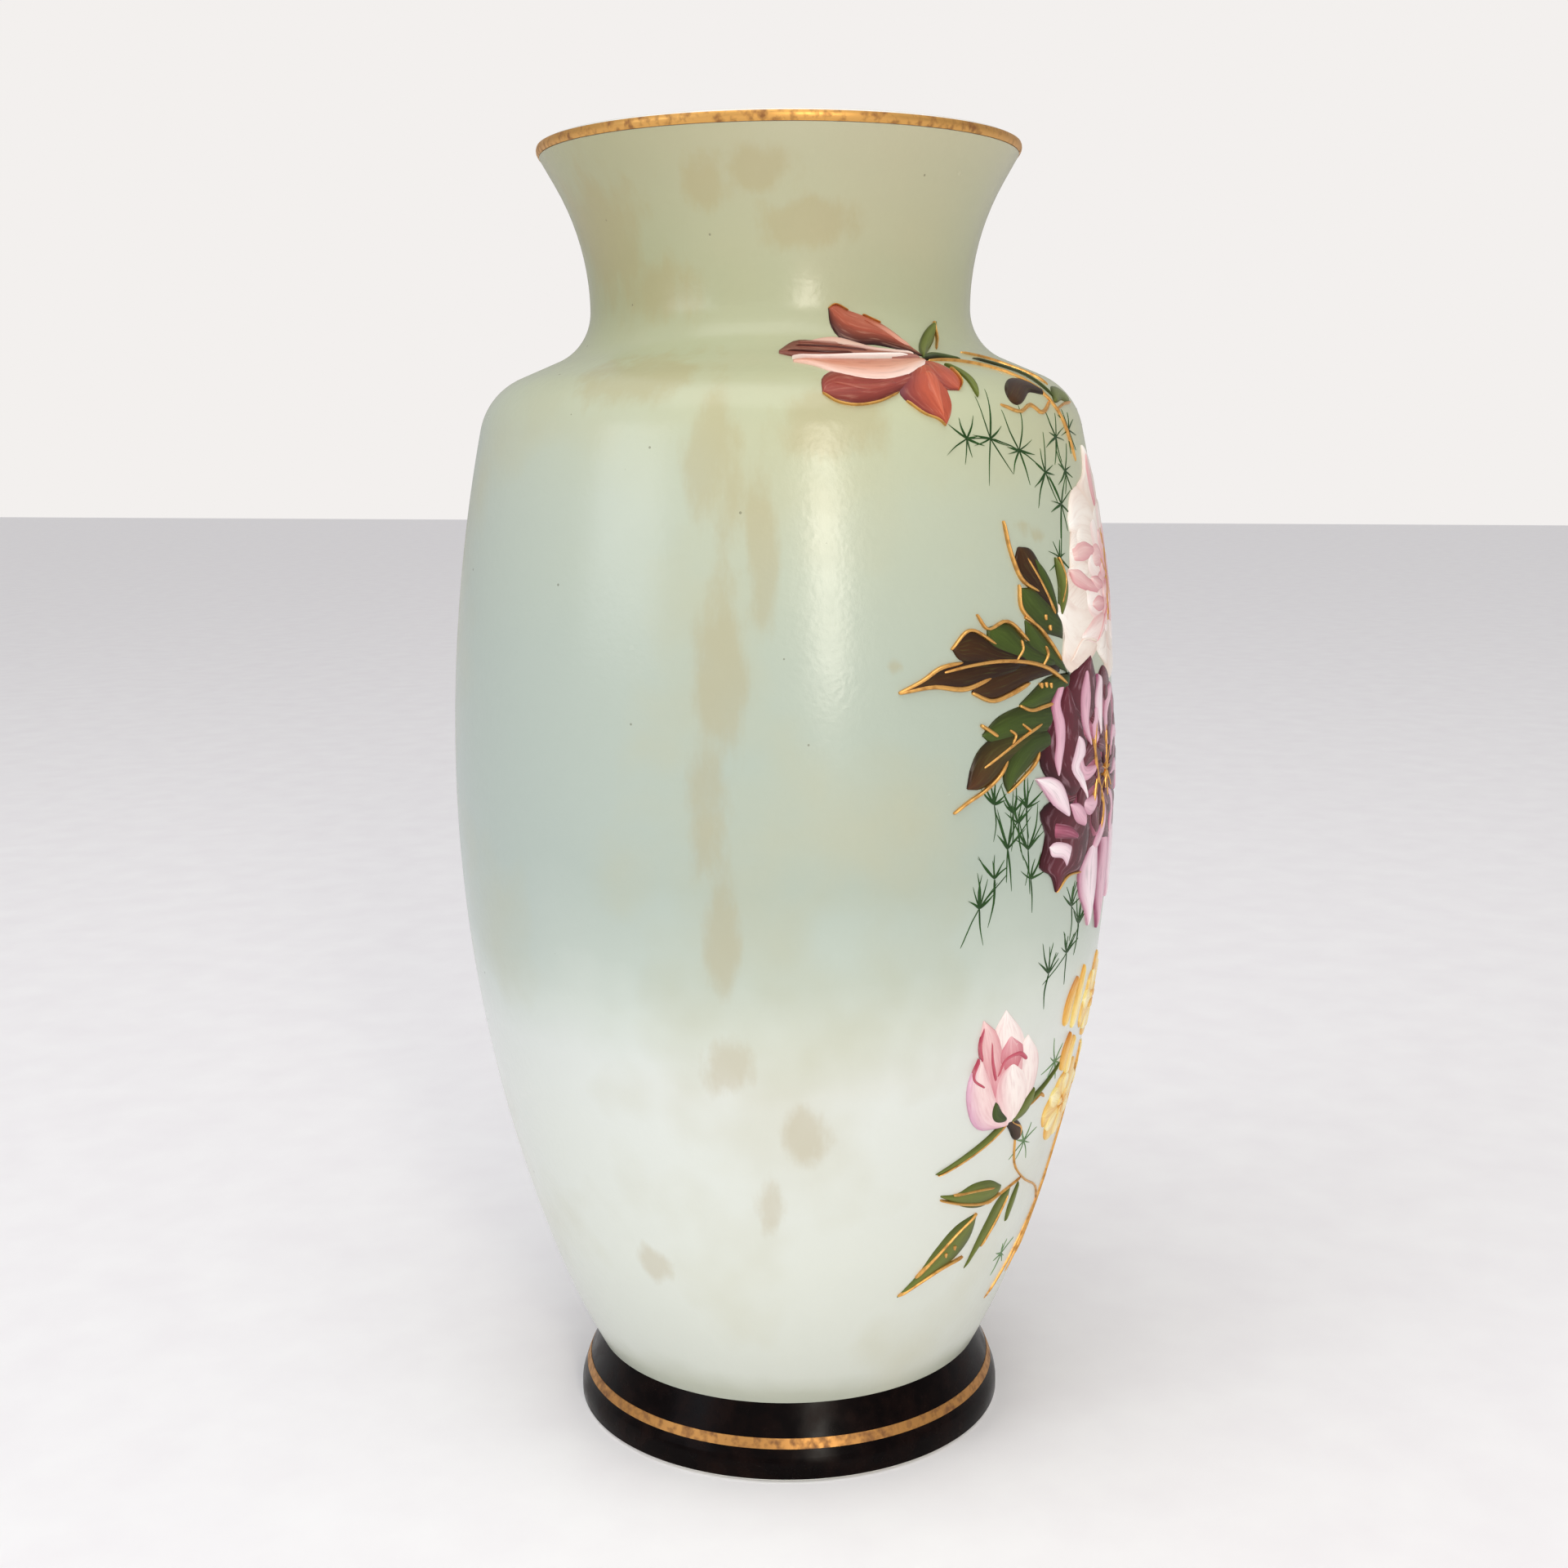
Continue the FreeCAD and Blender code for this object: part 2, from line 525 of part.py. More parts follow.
def make_oval(doc, sheet, name, place, half_length, half_width):
    """An oval plug through the vase's side, to cut an oval dab out of the relief layer."""
    lean, turn, height = place
    outline = doc.addObject("Part::Ellipse", f"{name}_outline")
    outline.Placement = on_surface(sheet, turn, height, lean) * LENGTH_UP
    outline.setExpression("MajorRadius", half_length)
    outline.setExpression("MinorRadius", half_width)
    plug = doc.addObject("Part::Extrusion", name)
    plug.Base = outline
    plug.DirMode = "Normal"
    plug.Solid = True
    plug.setExpression("LengthFwd", "sizes.plug_depth")
    plug.setExpression("LengthRev", "sizes.plug_depth")
    return plug


def make_strokes(doc, sheet, name):
    """The ovals of one set of raised dabs."""
    ovals = []
    for number in range(1, len(STROKES[name]) + 1):
        cell = f"{name}_{number}"
        turn, height, lean = (sheet.get(f"{cell}_{part}") for part in ("turn", "level", "lean"))
        size = (f"sizes.{cell}_half_length", f"sizes.{cell}_half_width")
        ovals.append(make_oval(doc, sheet, f"{cell}_oval", (lean, turn, height), *size))
    return ovals


def make_bar(doc, sheet, cell):
    """A straight bar set into the vase's side, to cut a length of stem out of the relief layer."""
    turn, height, lean = (sheet.get(f"{cell}_{part}") for part in ("turn", "level", "lean"))
    middle = on_surface(sheet, turn, height, lean)
    bar = doc.addObject("Part::Box", f"{cell}_bar")
    bar.setExpression("Length", f"2 * sizes.{cell}_half_width")
    bar.setExpression("Width", "2 * sizes.plug_depth")
    bar.setExpression("Height", f"2 * sizes.{cell}_half_length")
    half_size = (sheet.get(f"{cell}_half_width"), sheet.get("plug_depth"), sheet.get(f"{cell}_half_length"))
    corner = -FreeCAD.Vector(*half_size)
    bar.Placement = middle * FreeCAD.Placement(corner, FreeCAD.Rotation())
    return bar


def make_bloom(doc, sheet, cell):
    """The ovals of one open flower: a ring of petals round a middle."""
    wanted = ("turn", "level", "ring", "count")
    turn, height, ring, count = (sheet.get(f"{cell}_{part}") for part in wanted)
    middle = (f"sizes.{cell}_ring * 1.02", f"sizes.{cell}_ring")
    ovals = [make_oval(doc, sheet, f"{cell}_middle", (0, turn, height), *middle)]
    wide = f"sizes.{cell}_ring * 1.3 * sin(180 deg / sizes.{cell}_count)"
    petal_size = (f"sizes.{cell}_petal", f"min({wide}; sizes.{cell}_petal * 0.98)")
    for number in range(count):
        angle = 2 * math.pi * number / count
        level = height + ring * math.cos(angle)
        reach, _ = surface(sheet, level)
        side = turn + math.degrees(ring * math.sin(angle) / reach)
        place = (math.degrees(angle), side, level)
        ovals.append(make_oval(doc, sheet, f"{cell}_petal_{number}", place, *petal_size))
    return ovals


def make_enamel(doc, name, groups, layer):
    """Raised enamel: the parts of the relief layer that lie inside each group of solids."""
    dabs = []
    for number, group in enumerate(groups, start=1):
        cutter = group[0]
        if len(group) > 1:
            cutter = doc.addObject("Part::MultiFuse", f"{name}_cutter_{number}")
            cutter.Shapes = group
        dab = doc.addObject("Part::Common", f"{name}_dab_{number}")
        dab.Base = layer
        dab.Tool = cutter
        dabs.append(dab)
    enamel = doc.addObject("Part::Compound", name)
    enamel.Label = name
    enamel.Links = dabs
    enamel.Placement = FreeCAD.Placement()
    return enamel


def build(doc):
    """Make every piece of the vase, and return those that are kept."""
    sheet = make_sheet(doc)
    pieces = [
        make_glass_body(doc, sheet),
        make_glass_foot(doc, sheet),
        make_layer(doc, sheet, "ground_coat", {}, {"coat": 1}),
        make_foot_enamel(doc, sheet),
        make_foot_band(doc, sheet),
        make_rim_band(doc, sheet),
    ]
    layer = make_layer(doc, sheet, "relief_layer", {"coat": 1}, {"coat": 1, "relief": 1})
    for name in STROKES:
        pieces.append(make_enamel(doc, name, [make_strokes(doc, sheet, name)], layer))
    bars = [[make_bar(doc, sheet, f"stems_{number}")] for number in range(1, len(STEMS) + 1)]
    pieces.append(make_enamel(doc, "stems", bars, layer))
    for name, blooms in BLOOMS.items():
        groups = [make_bloom(doc, sheet, f"{name}_{number}") for number in range(1, len(blooms) + 1)]
        pieces.append(make_enamel(doc, name, groups, layer))
    doc.recompute()
    return pieces


def check(doc, pieces):
    """Stop if any object failed to build or any piece isn't a sound solid."""
    failed = [item.Label for item in doc.Objects if {"Invalid", "Error"} & set(item.State)]
    unsound = [
        piece.Label
        for piece in pieces
        if piece.Shape.isNull() or not piece.Shape.isValid() or not piece.Shape.Solids
    ]
    if failed or unsound:
        raise RuntimeError(f"failed: {failed}, unsound: {unsound}")


def main():
    """Build the vase and write one file for each piece."""
    os.makedirs("parts", exist_ok=True)
    doc = FreeCAD.newDocument("flower_vase")
    pieces = build(doc)
    check(doc, pieces)
    for piece in pieces:
        piece.Shape.exportStep(f"parts/{piece.Label}.step")
        volume = piece.Shape.Volume / MM3_PER_CM3
        print(f"{piece.Label}: {len(piece.Shape.Solids)} solid(s), {volume:.3f} cm3")


main()
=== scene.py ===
"""An opal glass flower vase: a sage ground, a spray of flowers in raised enamel, gilt lines and a dark foot.

The vase is turned from one outline of arcs. Every petal, leaf, blade and gold line is a dab of enamel that
is laid on that outline along its own short path, so the painting follows the glass wherever it curves.
Turn is in degrees about the vase's axis, from the painted front (-Y) towards +X. Lengths are millimetres
until they reach the mesh, which is in metres.
"""

import json
import logging
import math
from dataclasses import dataclass, field, replace
from enum import Enum
from typing import Any, Iterable, Sequence

import bpy
import numpy as np
from mathutils import Matrix

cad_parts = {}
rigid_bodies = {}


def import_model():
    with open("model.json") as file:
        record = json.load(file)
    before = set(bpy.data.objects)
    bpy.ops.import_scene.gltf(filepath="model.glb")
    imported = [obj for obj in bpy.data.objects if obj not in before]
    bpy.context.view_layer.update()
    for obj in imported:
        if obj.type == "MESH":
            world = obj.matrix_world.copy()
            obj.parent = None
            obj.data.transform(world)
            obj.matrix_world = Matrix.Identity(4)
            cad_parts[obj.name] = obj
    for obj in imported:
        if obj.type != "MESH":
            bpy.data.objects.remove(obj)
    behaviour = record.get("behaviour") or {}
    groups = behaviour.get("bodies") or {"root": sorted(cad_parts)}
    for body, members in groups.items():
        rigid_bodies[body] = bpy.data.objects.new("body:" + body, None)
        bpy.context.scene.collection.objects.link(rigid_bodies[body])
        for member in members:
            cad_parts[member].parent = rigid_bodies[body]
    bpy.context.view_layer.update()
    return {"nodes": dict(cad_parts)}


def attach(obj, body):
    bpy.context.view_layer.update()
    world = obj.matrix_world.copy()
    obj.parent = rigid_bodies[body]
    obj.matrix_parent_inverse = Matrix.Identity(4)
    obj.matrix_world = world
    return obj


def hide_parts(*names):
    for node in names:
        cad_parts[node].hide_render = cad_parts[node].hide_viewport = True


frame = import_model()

MM = 0.001
# Thickness of the ground enamel, which the painting lies on.
COAT = 0.25
BODY = "root"
# Point attributes for a dab's colour and for how stained the ground is, and the map along a dab.
PAINT = "paint"
STAIN = "stain"
STROKE_UV = "stroke"
LOG = logging.getLogger("flower_vase")

Point = tuple[float, float]
Path = tuple[Point, ...]


# ---------------------------------------------------------------- shared helpers


def linear(colour: str) -> tuple[float, float, float, float]:
    """Turn an sRGB hex colour into the linear values that a shader takes.

    Args:
        colour: The colour as "#rrggbb".

    Returns:
        Linear red, green, blue and an alpha of 1.
    """
    channels = [int(colour[i:i + 2], 16) / 255 for i in (1, 3, 5)]
    low_end, low_slope, offset, power = 0.04045, 12.92, 0.055, 2.4
    values = [c / low_slope if c <= low_end else ((c + offset) / (1 + offset)) ** power for c in channels]
    return values[0], values[1], values[2], 1.0


def clear_selection() -> None:
    """Leave nothing selected, so that the next operator acts on new geometry only."""
    bpy.ops.object.select_all(action="DESELECT")


def keep(piece: bpy.types.Object, name: str, slot: str, *nodes: str) -> bpy.types.Object:
    """Name a finished piece and tie it to the frame.

    Args:
        piece: The finished object, with its place in its mesh.
        name: The piece's name.
        slot: The record's material slot that its finish belongs to. It is not used.
        nodes: CAD nodes that the piece stands for.

    Returns:
        The same object.
    """
    piece.name = name
    piece.data.name = name
    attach(piece, BODY)
    if nodes:
        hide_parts(*nodes)
    LOG.info("%s: %d faces, stands for %s", name, len(piece.data.polygons), ", ".join(nodes) or "no node")
    return piece


def add_node(tree: bpy.types.NodeTree, kind: str, inputs: dict[Any, Any] | None = None,
             stops: Sequence[tuple[float, str]] = (), **settings: Any) -> bpy.types.Node:
    """Add a shader node.

    Args:
        tree: The material's or world's node tree.
        kind: The node's type name, without its shared first part.
        inputs: Values or other nodes' outputs, by the name or number of the input.
        stops: Places and hex colours along a colour ramp.
        settings: The node's own properties.

    Returns:
        The new node.
    """
    made = tree.nodes.new("ShaderNode" + kind)
    for name, value in settings.items():
        setattr(made, name, value)
    for socket, value in (inputs or {}).items():
        if isinstance(value, bpy.types.NodeSocket):
            tree.links.new(value, made.inputs[socket])
        else:
            made.inputs[socket].default_value = value
    if stops:
        elements = made.color_ramp.elements
        while len(elements) < len(stops):
            elements.new(1.0)
        for element, (place, colour) in zip(elements, stops):
            element.position = place
            element.color = linear(colour)
    return made


def new_material(name: str) -> tuple[bpy.types.Material, bpy.types.NodeTree]:
    """Start an empty node material.

    Args:
        name: The finish's name.

    Returns:
        The material and its node tree.
    """
    material = bpy.data.materials.new(name)
    material.use_nodes = True
    material.node_tree.nodes.clear()
    return material, material.node_tree


def dress(piece: bpy.types.Object, material: bpy.types.Material) -> None:
    """Give a piece one material all over.

    Args:
        piece: The new piece or CAD node.
        material: Its finish.
    """
    piece.data.materials.clear()
    piece.data.materials.append(material)


# ---------------------------------------------------------------- the outline


@dataclass(frozen=True)
class Outline:
    """The outside of the glass, from the crease above the foot to the lip, as arcs that run together."""

    belly_radius: float = 85.3
    belly_height: float = 173.0
    lower_arc: float = 381.0
    upper_arc: float = 423.0
    heel_arc: float = 200.0
    heel_height: float = 45.0
    shoulder_arc: float = 17.3
    shoulder_slope: float = 67.0
    throat_arc: float = 14.0
    waist_radius: float = 47.8
    waist_height: float = 290.0
    flare_arc: float = 62.0
    flare_slope: float = 30.0
    crease_height: float = 19.0

    def shoulder_centre(self) -> np.ndarray:
        """Find the centre of the shoulder's arc, from the arc and the straight slope that it runs into.

        Returns:
            Its radius and height. The arc touches the one below it and the slope that runs up to the throat.
        """
        slope = math.radians(self.shoulder_slope)
        throat = np.array([self.waist_radius + self.throat_arc, self.waist_height])
        start = throat - (self.throat_arc + self.shoulder_arc) * np.array([math.cos(slope),
                                                                           math.sin(slope)])
        way = np.array([math.sin(slope), -math.cos(slope)])
        offset = start - np.array([self.belly_radius - self.upper_arc, self.belly_height])
        half = float(offset @ way)
        gap = float(offset @ offset) - (self.upper_arc - self.shoulder_arc) ** 2
        return start + (math.sqrt(half * half - gap) - half) * way

    def radius(self, height: np.ndarray) -> np.ndarray:
        """Distance of the glass from the axis.

        Args:
            height: Heights above the table.

        Returns:
            The radius at each height.
        """
        height = np.asarray(height, float)
        slope = math.radians(self.shoulder_slope)
        flare = math.radians(self.flare_slope)
        shoulder = self.shoulder_centre()
        upper = np.array([self.belly_radius - self.upper_arc, self.belly_height])
        touch = upper + (shoulder - upper) * self.upper_arc / (self.upper_arc - self.shoulder_arc)
        slope_foot = shoulder + self.shoulder_arc * np.array([math.cos(slope), math.sin(slope)])
        throat_foot = self.waist_height - self.throat_arc * math.sin(slope)
        flare_end = self.waist_height + self.flare_arc * math.sin(flare)
        opened = self.waist_radius + self.flare_arc * (1 - math.cos(flare))
        heel_way = -math.asin((self.belly_height - self.heel_height) / self.lower_arc)
        heel_reach = self.lower_arc - self.heel_arc
        heel_r = self.belly_radius - self.lower_arc + heel_reach * math.cos(heel_way)
        heel_z = self.belly_height + heel_reach * math.sin(heel_way)

        def bulge(centre_r: float, centre_z: float, size: float) -> np.ndarray:
            """Radius on an arc that bulges outwards."""
            return centre_r + np.sqrt(np.maximum(size ** 2 - (height - centre_z) ** 2, 0))

        def hollow(size: float) -> np.ndarray:
            """Radius on an arc that curves inwards to the waist."""
            inside = np.maximum(size ** 2 - (height - self.waist_height) ** 2, 0)
            return self.waist_radius + size - np.sqrt(inside)

        bounds = (self.heel_height, self.belly_height, touch[1], slope_foot[1], throat_foot,
                  self.waist_height, flare_end)
        pieces = (
            bulge(heel_r, heel_z, self.heel_arc),
            bulge(self.belly_radius - self.lower_arc, self.belly_height, self.lower_arc),
            bulge(upper[0], upper[1], self.upper_arc),
            bulge(shoulder[0], shoulder[1], self.shoulder_arc),
            slope_foot[0] - (height - slope_foot[1]) * math.tan(slope),
            hollow(self.throat_arc),
            hollow(self.flare_arc),
        )
        straight = opened + (height - flare_end) * math.tan(flare)
        return np.select([height <= bound for bound in bounds], pieces, straight)

    def slope(self, height: np.ndarray) -> np.ndarray:
        """How fast the radius grows with height."""
        step = 0.02
        return (self.radius(height + step) - self.radius(height - step)) / (2 * step)

    def profile(self, heights: np.ndarray, lift: float) -> list[Point]:
        """Points of the outline, moved out from the glass.

        Args:
            heights: Heights on the glass.
            lift: How far out the points lie.

        Returns:
            A radius and a height for each point.
        """
        slope = self.slope(heights)
        length = np.sqrt(1 + slope ** 2)
        return list(zip(self.radius(heights) + lift / length, heights - lift * slope / length))

    def place(self, turn: np.ndarray, height: np.ndarray, lift: np.ndarray) -> np.ndarray:
        """Points in space, in metres.

        Args:
            turn: Degrees about the axis.
            height: Height on the glass.
            lift: Distance out from the glass.

        Returns:
            One row of x, y and z for each point.
        """
        slope = self.slope(height)
        length = np.sqrt(1 + slope ** 2)
        reach = self.radius(height) + lift / length
        angle = np.radians(turn)
        return MM * np.stack([reach * np.sin(angle), -reach * np.cos(angle),
                              height - lift * slope / length], -1)

    def shift(self, point: Point, across: float, up: float) -> Point:
        """Move a point on the glass.

        Args:
            point: Turn and height.
            across: Millimetres round the glass.
            up: Millimetres up its surface.

        Returns:
            The moved point's turn and height.
        """
        height = np.array(point[1])
        stretch = math.sqrt(1 + float(self.slope(height)) ** 2)
        return point[0] + math.degrees(across / float(self.radius(height))), point[1] + up / stretch


OUTLINE = Outline()


# ---------------------------------------------------------------- finishes

# Noise lies mostly between 0.3 and 0.7, so the stops and ranges that are laid over it lie there too.


@dataclass(frozen=True)
class OpalGlass:
    """Pressed and blown opal glass: milky, slightly warm, fire-polished smooth with faint waves.

    The eye sees a soft white that light sinks into a little, under a clean gloss that ripples slowly.
    """

    colour: str = "#f0ede6"
    deep: str = "#dfe2da"
    roughness: float = 0.14
    wave_mm: float = 14.0
    # Light enters about this far before it comes out again.
    depth_mm: float = 3.0

    def build(self) -> bpy.types.Material:
        """Make the material."""
        material, tree = new_material("opal_glass")
        place = add_node(tree, "TexCoord").outputs["Object"]
        cloud = add_node(tree, "TexNoise", {"Vector": place, "Scale": 1 / (3 * self.wave_mm * MM)})
        tint = add_node(tree, "ValToRGB", {"Fac": cloud.outputs["Fac"]},
                        stops=((0.3, self.deep), (0.65, self.colour)))
        wave = add_node(tree, "TexNoise", {"Vector": place, "Scale": 1 / (self.wave_mm * MM), "Detail": 1.0})
        bump = add_node(tree, "Bump", {"Strength": 0.08, "Distance": MM, "Height": wave.outputs["Fac"]})
        shader = add_node(tree, "BsdfPrincipled",
                          {"Base Color": tint.outputs["Color"], "Roughness": self.roughness, "IOR": 1.5,
                           "Subsurface Weight": 0.25, "Subsurface Radius": (0.9, 0.9, 0.8),
                           "Subsurface Scale": self.depth_mm * MM, "Normal": bump.outputs["Normal"]})
        add_node(tree, "OutputMaterial", {"Surface": shader.outputs["BSDF"]})
        return material


@dataclass(frozen=True)
class SageGround:
    """Sprayed and fired ground enamel: a satin-gloss sage that fades to cool cream, with old tan stains.

    The eye sees soft bands of colour that wander a little, blurred highlights, and a few specks.
    """

    # Colours by height above the table, in millimetres. The lowest stop, at the crease above the foot, is
    # darker: painted shade where the body turns in to meet the foot.
    bands: tuple[tuple[float, str], ...] = (
        (19, "#bcc1b2"), (27, "#cdd2c8"), (60, "#d6dbd2"), (112, "#d8ddd8"), (126, "#ccd4cb"),
        (138, "#b9c4b9"),
        (160, "#a9b6aa"), (205, "#afbaab"), (240, "#b6bea8"), (262, "#babf9f"), (278, "#b2b897"),
        (300, "#b2b595"),
        (327, "#bbb99b"),
    )
    teal: str = "#aebab6"
    warm: str = "#b8b492"
    olive: str = "#8f8f62"
    stain: str = "#a7915a"
    speck: str = "#5d5a45"
    roughness: float = 0.22
    cloud_mm: float = 45.0
    blotch_mm: float = 9.0
    speck_mm: float = 7.0
    peel_mm: float = 1.6
    # How far the bands wander up and down.
    wander_mm: float = 30.0
    # The cool tint grows along this direction, per metre. It starts and ends softly, between two heights.
    cool_side: tuple[float, float, float] = (-5.5, 9.5, 0.0)
    cool_share: float = 0.55
    cool_foot: tuple[float, float] = (90.0, 160.0)
    cool_top: tuple[float, float] = (255.0, 285.0)
    warm_share: float = 0.4
    # The olive tint lies on the neck, along this direction.
    olive_side: tuple[float, float, float] = (-0.34, 0.94, 0.0)
    olive_share: float = 0.42
    olive_reach: tuple[float, float] = (-10.0, 50.0)
    olive_foot: tuple[float, float] = (270.0, 292.0)
    stain_share: float = 0.3
    # A stain runs down the glass, so its blotches are drawn out by one over this.
    stain_squeeze: float = 0.4
    # A speck's radius over the size of its cell, the share of cells left empty and its strength.
    speck_size: float = 0.045
    speck_rare: float = 0.7
    speck_share: float = 0.55

    def build(self) -> bpy.types.Material:
        """Make the material."""
        material, tree = new_material("sage_ground_enamel")
        place = add_node(tree, "TexCoord").outputs["Object"]
        cloud = add_node(tree, "TexNoise",
                         {"Vector": place, "Scale": 1 / (self.cloud_mm * MM), "Detail": 3.0}).outputs["Fac"]
        axes = add_node(tree, "SeparateXYZ", {"Vector": place})
        wander = self.wander_mm * MM
        drift = add_node(tree, "Math", {0: cloud, 1: wander, 2: -wander / 2}, operation="MULTIPLY_ADD")
        level = add_node(tree, "Math", {0: axes.outputs["Z"], 1: drift.outputs[0]})
        top = self.bands[-1][0]
        share = add_node(tree, "Math", {0: level.outputs[0], 1: top * MM}, operation="DIVIDE")
        bands = add_node(tree, "ValToRGB", {"Fac": share.outputs[0]},
                         stops=[(height / top, colour) for height, colour in self.bands])
        # The cool tint grows from the left of the front round to the back.
        side = add_node(tree, "VectorMath", {0: place, 1: self.cool_side}, operation="DOT_PRODUCT")
        cool = add_node(tree, "MapRange", {"Value": side.outputs["Value"], "From Min": 0.1, "From Max": 0.95,
                                           "To Max": self.cool_share}, interpolation_type="SMOOTHSTEP")
        mid = add_node(tree, "MapRange", {"Value": axes.outputs["Z"], "From Min": self.cool_foot[0] * MM,
                                          "From Max": self.cool_foot[1] * MM},
                       interpolation_type="SMOOTHSTEP")
        below_neck = add_node(tree, "MapRange",
                              {"Value": axes.outputs["Z"], "From Min": self.cool_top[1] * MM,
                               "From Max": self.cool_top[0] * MM}, interpolation_type="SMOOTHSTEP")
        belt = add_node(tree, "Math", {0: below_neck.outputs[0], 1: mid.outputs[0]}, operation="MULTIPLY")
        cooled = add_node(tree, "Math", {0: cool.outputs[0], 1: belt.outputs[0]}, operation="MULTIPLY")
        tinted = add_node(tree, "Mix", {"Factor": cooled.outputs[0], 6: bands.outputs["Color"],
                                        7: linear(self.teal)}, data_type="RGBA")
        cloudy = add_node(tree, "MapRange",
                          {"Value": cloud, "From Min": 0.48, "From Max": 0.72, "To Max": self.warm_share})
        warmed = add_node(tree, "Mix", {"Factor": cloudy.outputs[0], 6: tinted.outputs[2],
                                        7: linear(self.warm)}, data_type="RGBA")
        # The neck is a darker olive on the far side from the flowers.
        away = add_node(tree, "VectorMath", {0: place, 1: self.olive_side}, operation="DOT_PRODUCT")
        behind = add_node(tree, "MapRange",
                          {"Value": away.outputs["Value"], "From Min": self.olive_reach[0] * MM,
                           "From Max": self.olive_reach[1] * MM, "To Max": self.olive_share},
                          interpolation_type="SMOOTHSTEP")
        neck = add_node(tree, "MapRange", {"Value": axes.outputs["Z"], "From Min": self.olive_foot[0] * MM,
                                           "From Max": self.olive_foot[1] * MM},
                        interpolation_type="SMOOTHSTEP")
        deep = add_node(tree, "Math", {0: behind.outputs[0], 1: neck.outputs[0]}, operation="MULTIPLY")
        shaded = add_node(tree, "Mix", {"Factor": deep.outputs[0], 6: warmed.outputs[2],
                                        7: linear(self.olive)}, data_type="RGBA")
        # Stains lie where the mesh's stain attribute says, broken up into blotches.
        where = add_node(tree, "Attribute", attribute_name=STAIN).outputs["Fac"]
        blotch = add_node(tree, "TexNoise",
                          {"Vector": place, "Scale": 1 / (self.blotch_mm * MM),
                           "Detail": 5.0}).outputs["Fac"]
        run_down = add_node(tree, "Mapping", {"Vector": place, "Scale": (1.0, 1.0, self.stain_squeeze)})
        ragged = add_node(tree, "TexNoise",
                          {"Vector": run_down.outputs["Vector"], "Scale": 1 / (self.blotch_mm * MM),
                           "Detail": 6.0, "Roughness": 0.6}).outputs["Fac"]
        worn = add_node(tree, "Math", {0: where, 1: ragged}, operation="ADD")
        mark = add_node(tree, "MapRange", {"Value": worn.outputs[0], "From Min": 0.9, "From Max": 1.22,
                                           "To Max": self.stain_share}, interpolation_type="SMOOTHSTEP")
        stained = add_node(tree, "Mix", {"Factor": mark.outputs[0], 6: shaded.outputs[2],
                                         7: linear(self.stain)}, data_type="RGBA")
        # Kiln specks: a few dark grains, one in each chosen cell.
        cells = add_node(tree, "TexVoronoi", {"Vector": place, "Scale": 1 / (self.speck_mm * MM)})
        chosen = add_node(tree, "SeparateColor", {"Color": cells.outputs["Color"]})
        near = add_node(tree, "Math", {0: cells.outputs["Distance"], 1: self.speck_size},
                        operation="LESS_THAN")
        rare = add_node(tree, "Math", {0: chosen.outputs["Red"], 1: self.speck_rare},
                        operation="GREATER_THAN")
        grain = add_node(tree, "Math", {0: near.outputs[0], 1: rare.outputs[0]}, operation="MULTIPLY")
        faint = add_node(tree, "Math", {0: grain.outputs[0], 1: self.speck_share}, operation="MULTIPLY")
        colour = add_node(tree, "Mix", {"Factor": faint.outputs[0], 6: stained.outputs[2],
                                        7: linear(self.speck)}, data_type="RGBA")
        gloss = add_node(tree, "MapRange",
                         {"Value": blotch, "To Min": self.roughness - 0.05, "To Max": self.roughness + 0.09})
        peel = add_node(tree, "TexNoise", {"Vector": place, "Scale": 1 / (self.peel_mm * MM), "Detail": 2.0})
        bump = add_node(tree, "Bump", {"Strength": 0.05, "Distance": MM, "Height": peel.outputs["Fac"]})
        shader = add_node(tree, "BsdfPrincipled",
                          {"Base Color": colour.outputs[2], "Roughness": gloss.outputs[0], "IOR": 1.5,
                           "Specular IOR Level": 0.4, "Normal": bump.outputs["Normal"]})
        add_node(tree, "OutputMaterial", {"Surface": shader.outputs["BSDF"]})
        return material


@dataclass(frozen=True)
class BrownEnamel:
    """Fired dark brown enamel on the foot: almost black, with rubbed, slightly redder and duller patches.

    The eye sees a black band that shows brown only where it has been handled.
    """

    colour: str = "#080404"
    rubbed: str = "#160a07"
    roughness: float = 0.14
    rub_mm: float = 6.0
    # How much rougher the rubbed patches are.
    dulling: float = 0.22

    def build(self) -> bpy.types.Material:
        """Make the material."""
        material, tree = new_material("brown_enamel")
        place = add_node(tree, "TexCoord").outputs["Object"]
        rub = add_node(tree, "TexNoise", {"Vector": place, "Scale": 1 / (self.rub_mm * MM), "Detail": 6.0})
        tint = add_node(tree, "ValToRGB", {"Fac": rub.outputs["Fac"]},
                        stops=((0.42, self.colour), (0.72, self.rubbed)))
        gloss = add_node(tree, "MapRange",
                         {"Value": rub.outputs["Fac"], "From Min": 0.3, "From Max": 0.75,
                          "To Min": self.roughness, "To Max": self.roughness + self.dulling})
        bump = add_node(tree, "Bump", {"Strength": 0.12, "Distance": 0.3 * MM, "Height": rub.outputs["Fac"]})
        shader = add_node(tree, "BsdfPrincipled",
                          {"Base Color": tint.outputs["Color"], "Roughness": gloss.outputs[0], "IOR": 1.5,
                           "Specular IOR Level": 0.06, "Normal": bump.outputs["Normal"]})
        add_node(tree, "OutputMaterial", {"Surface": shader.outputs["BSDF"]})
        return material


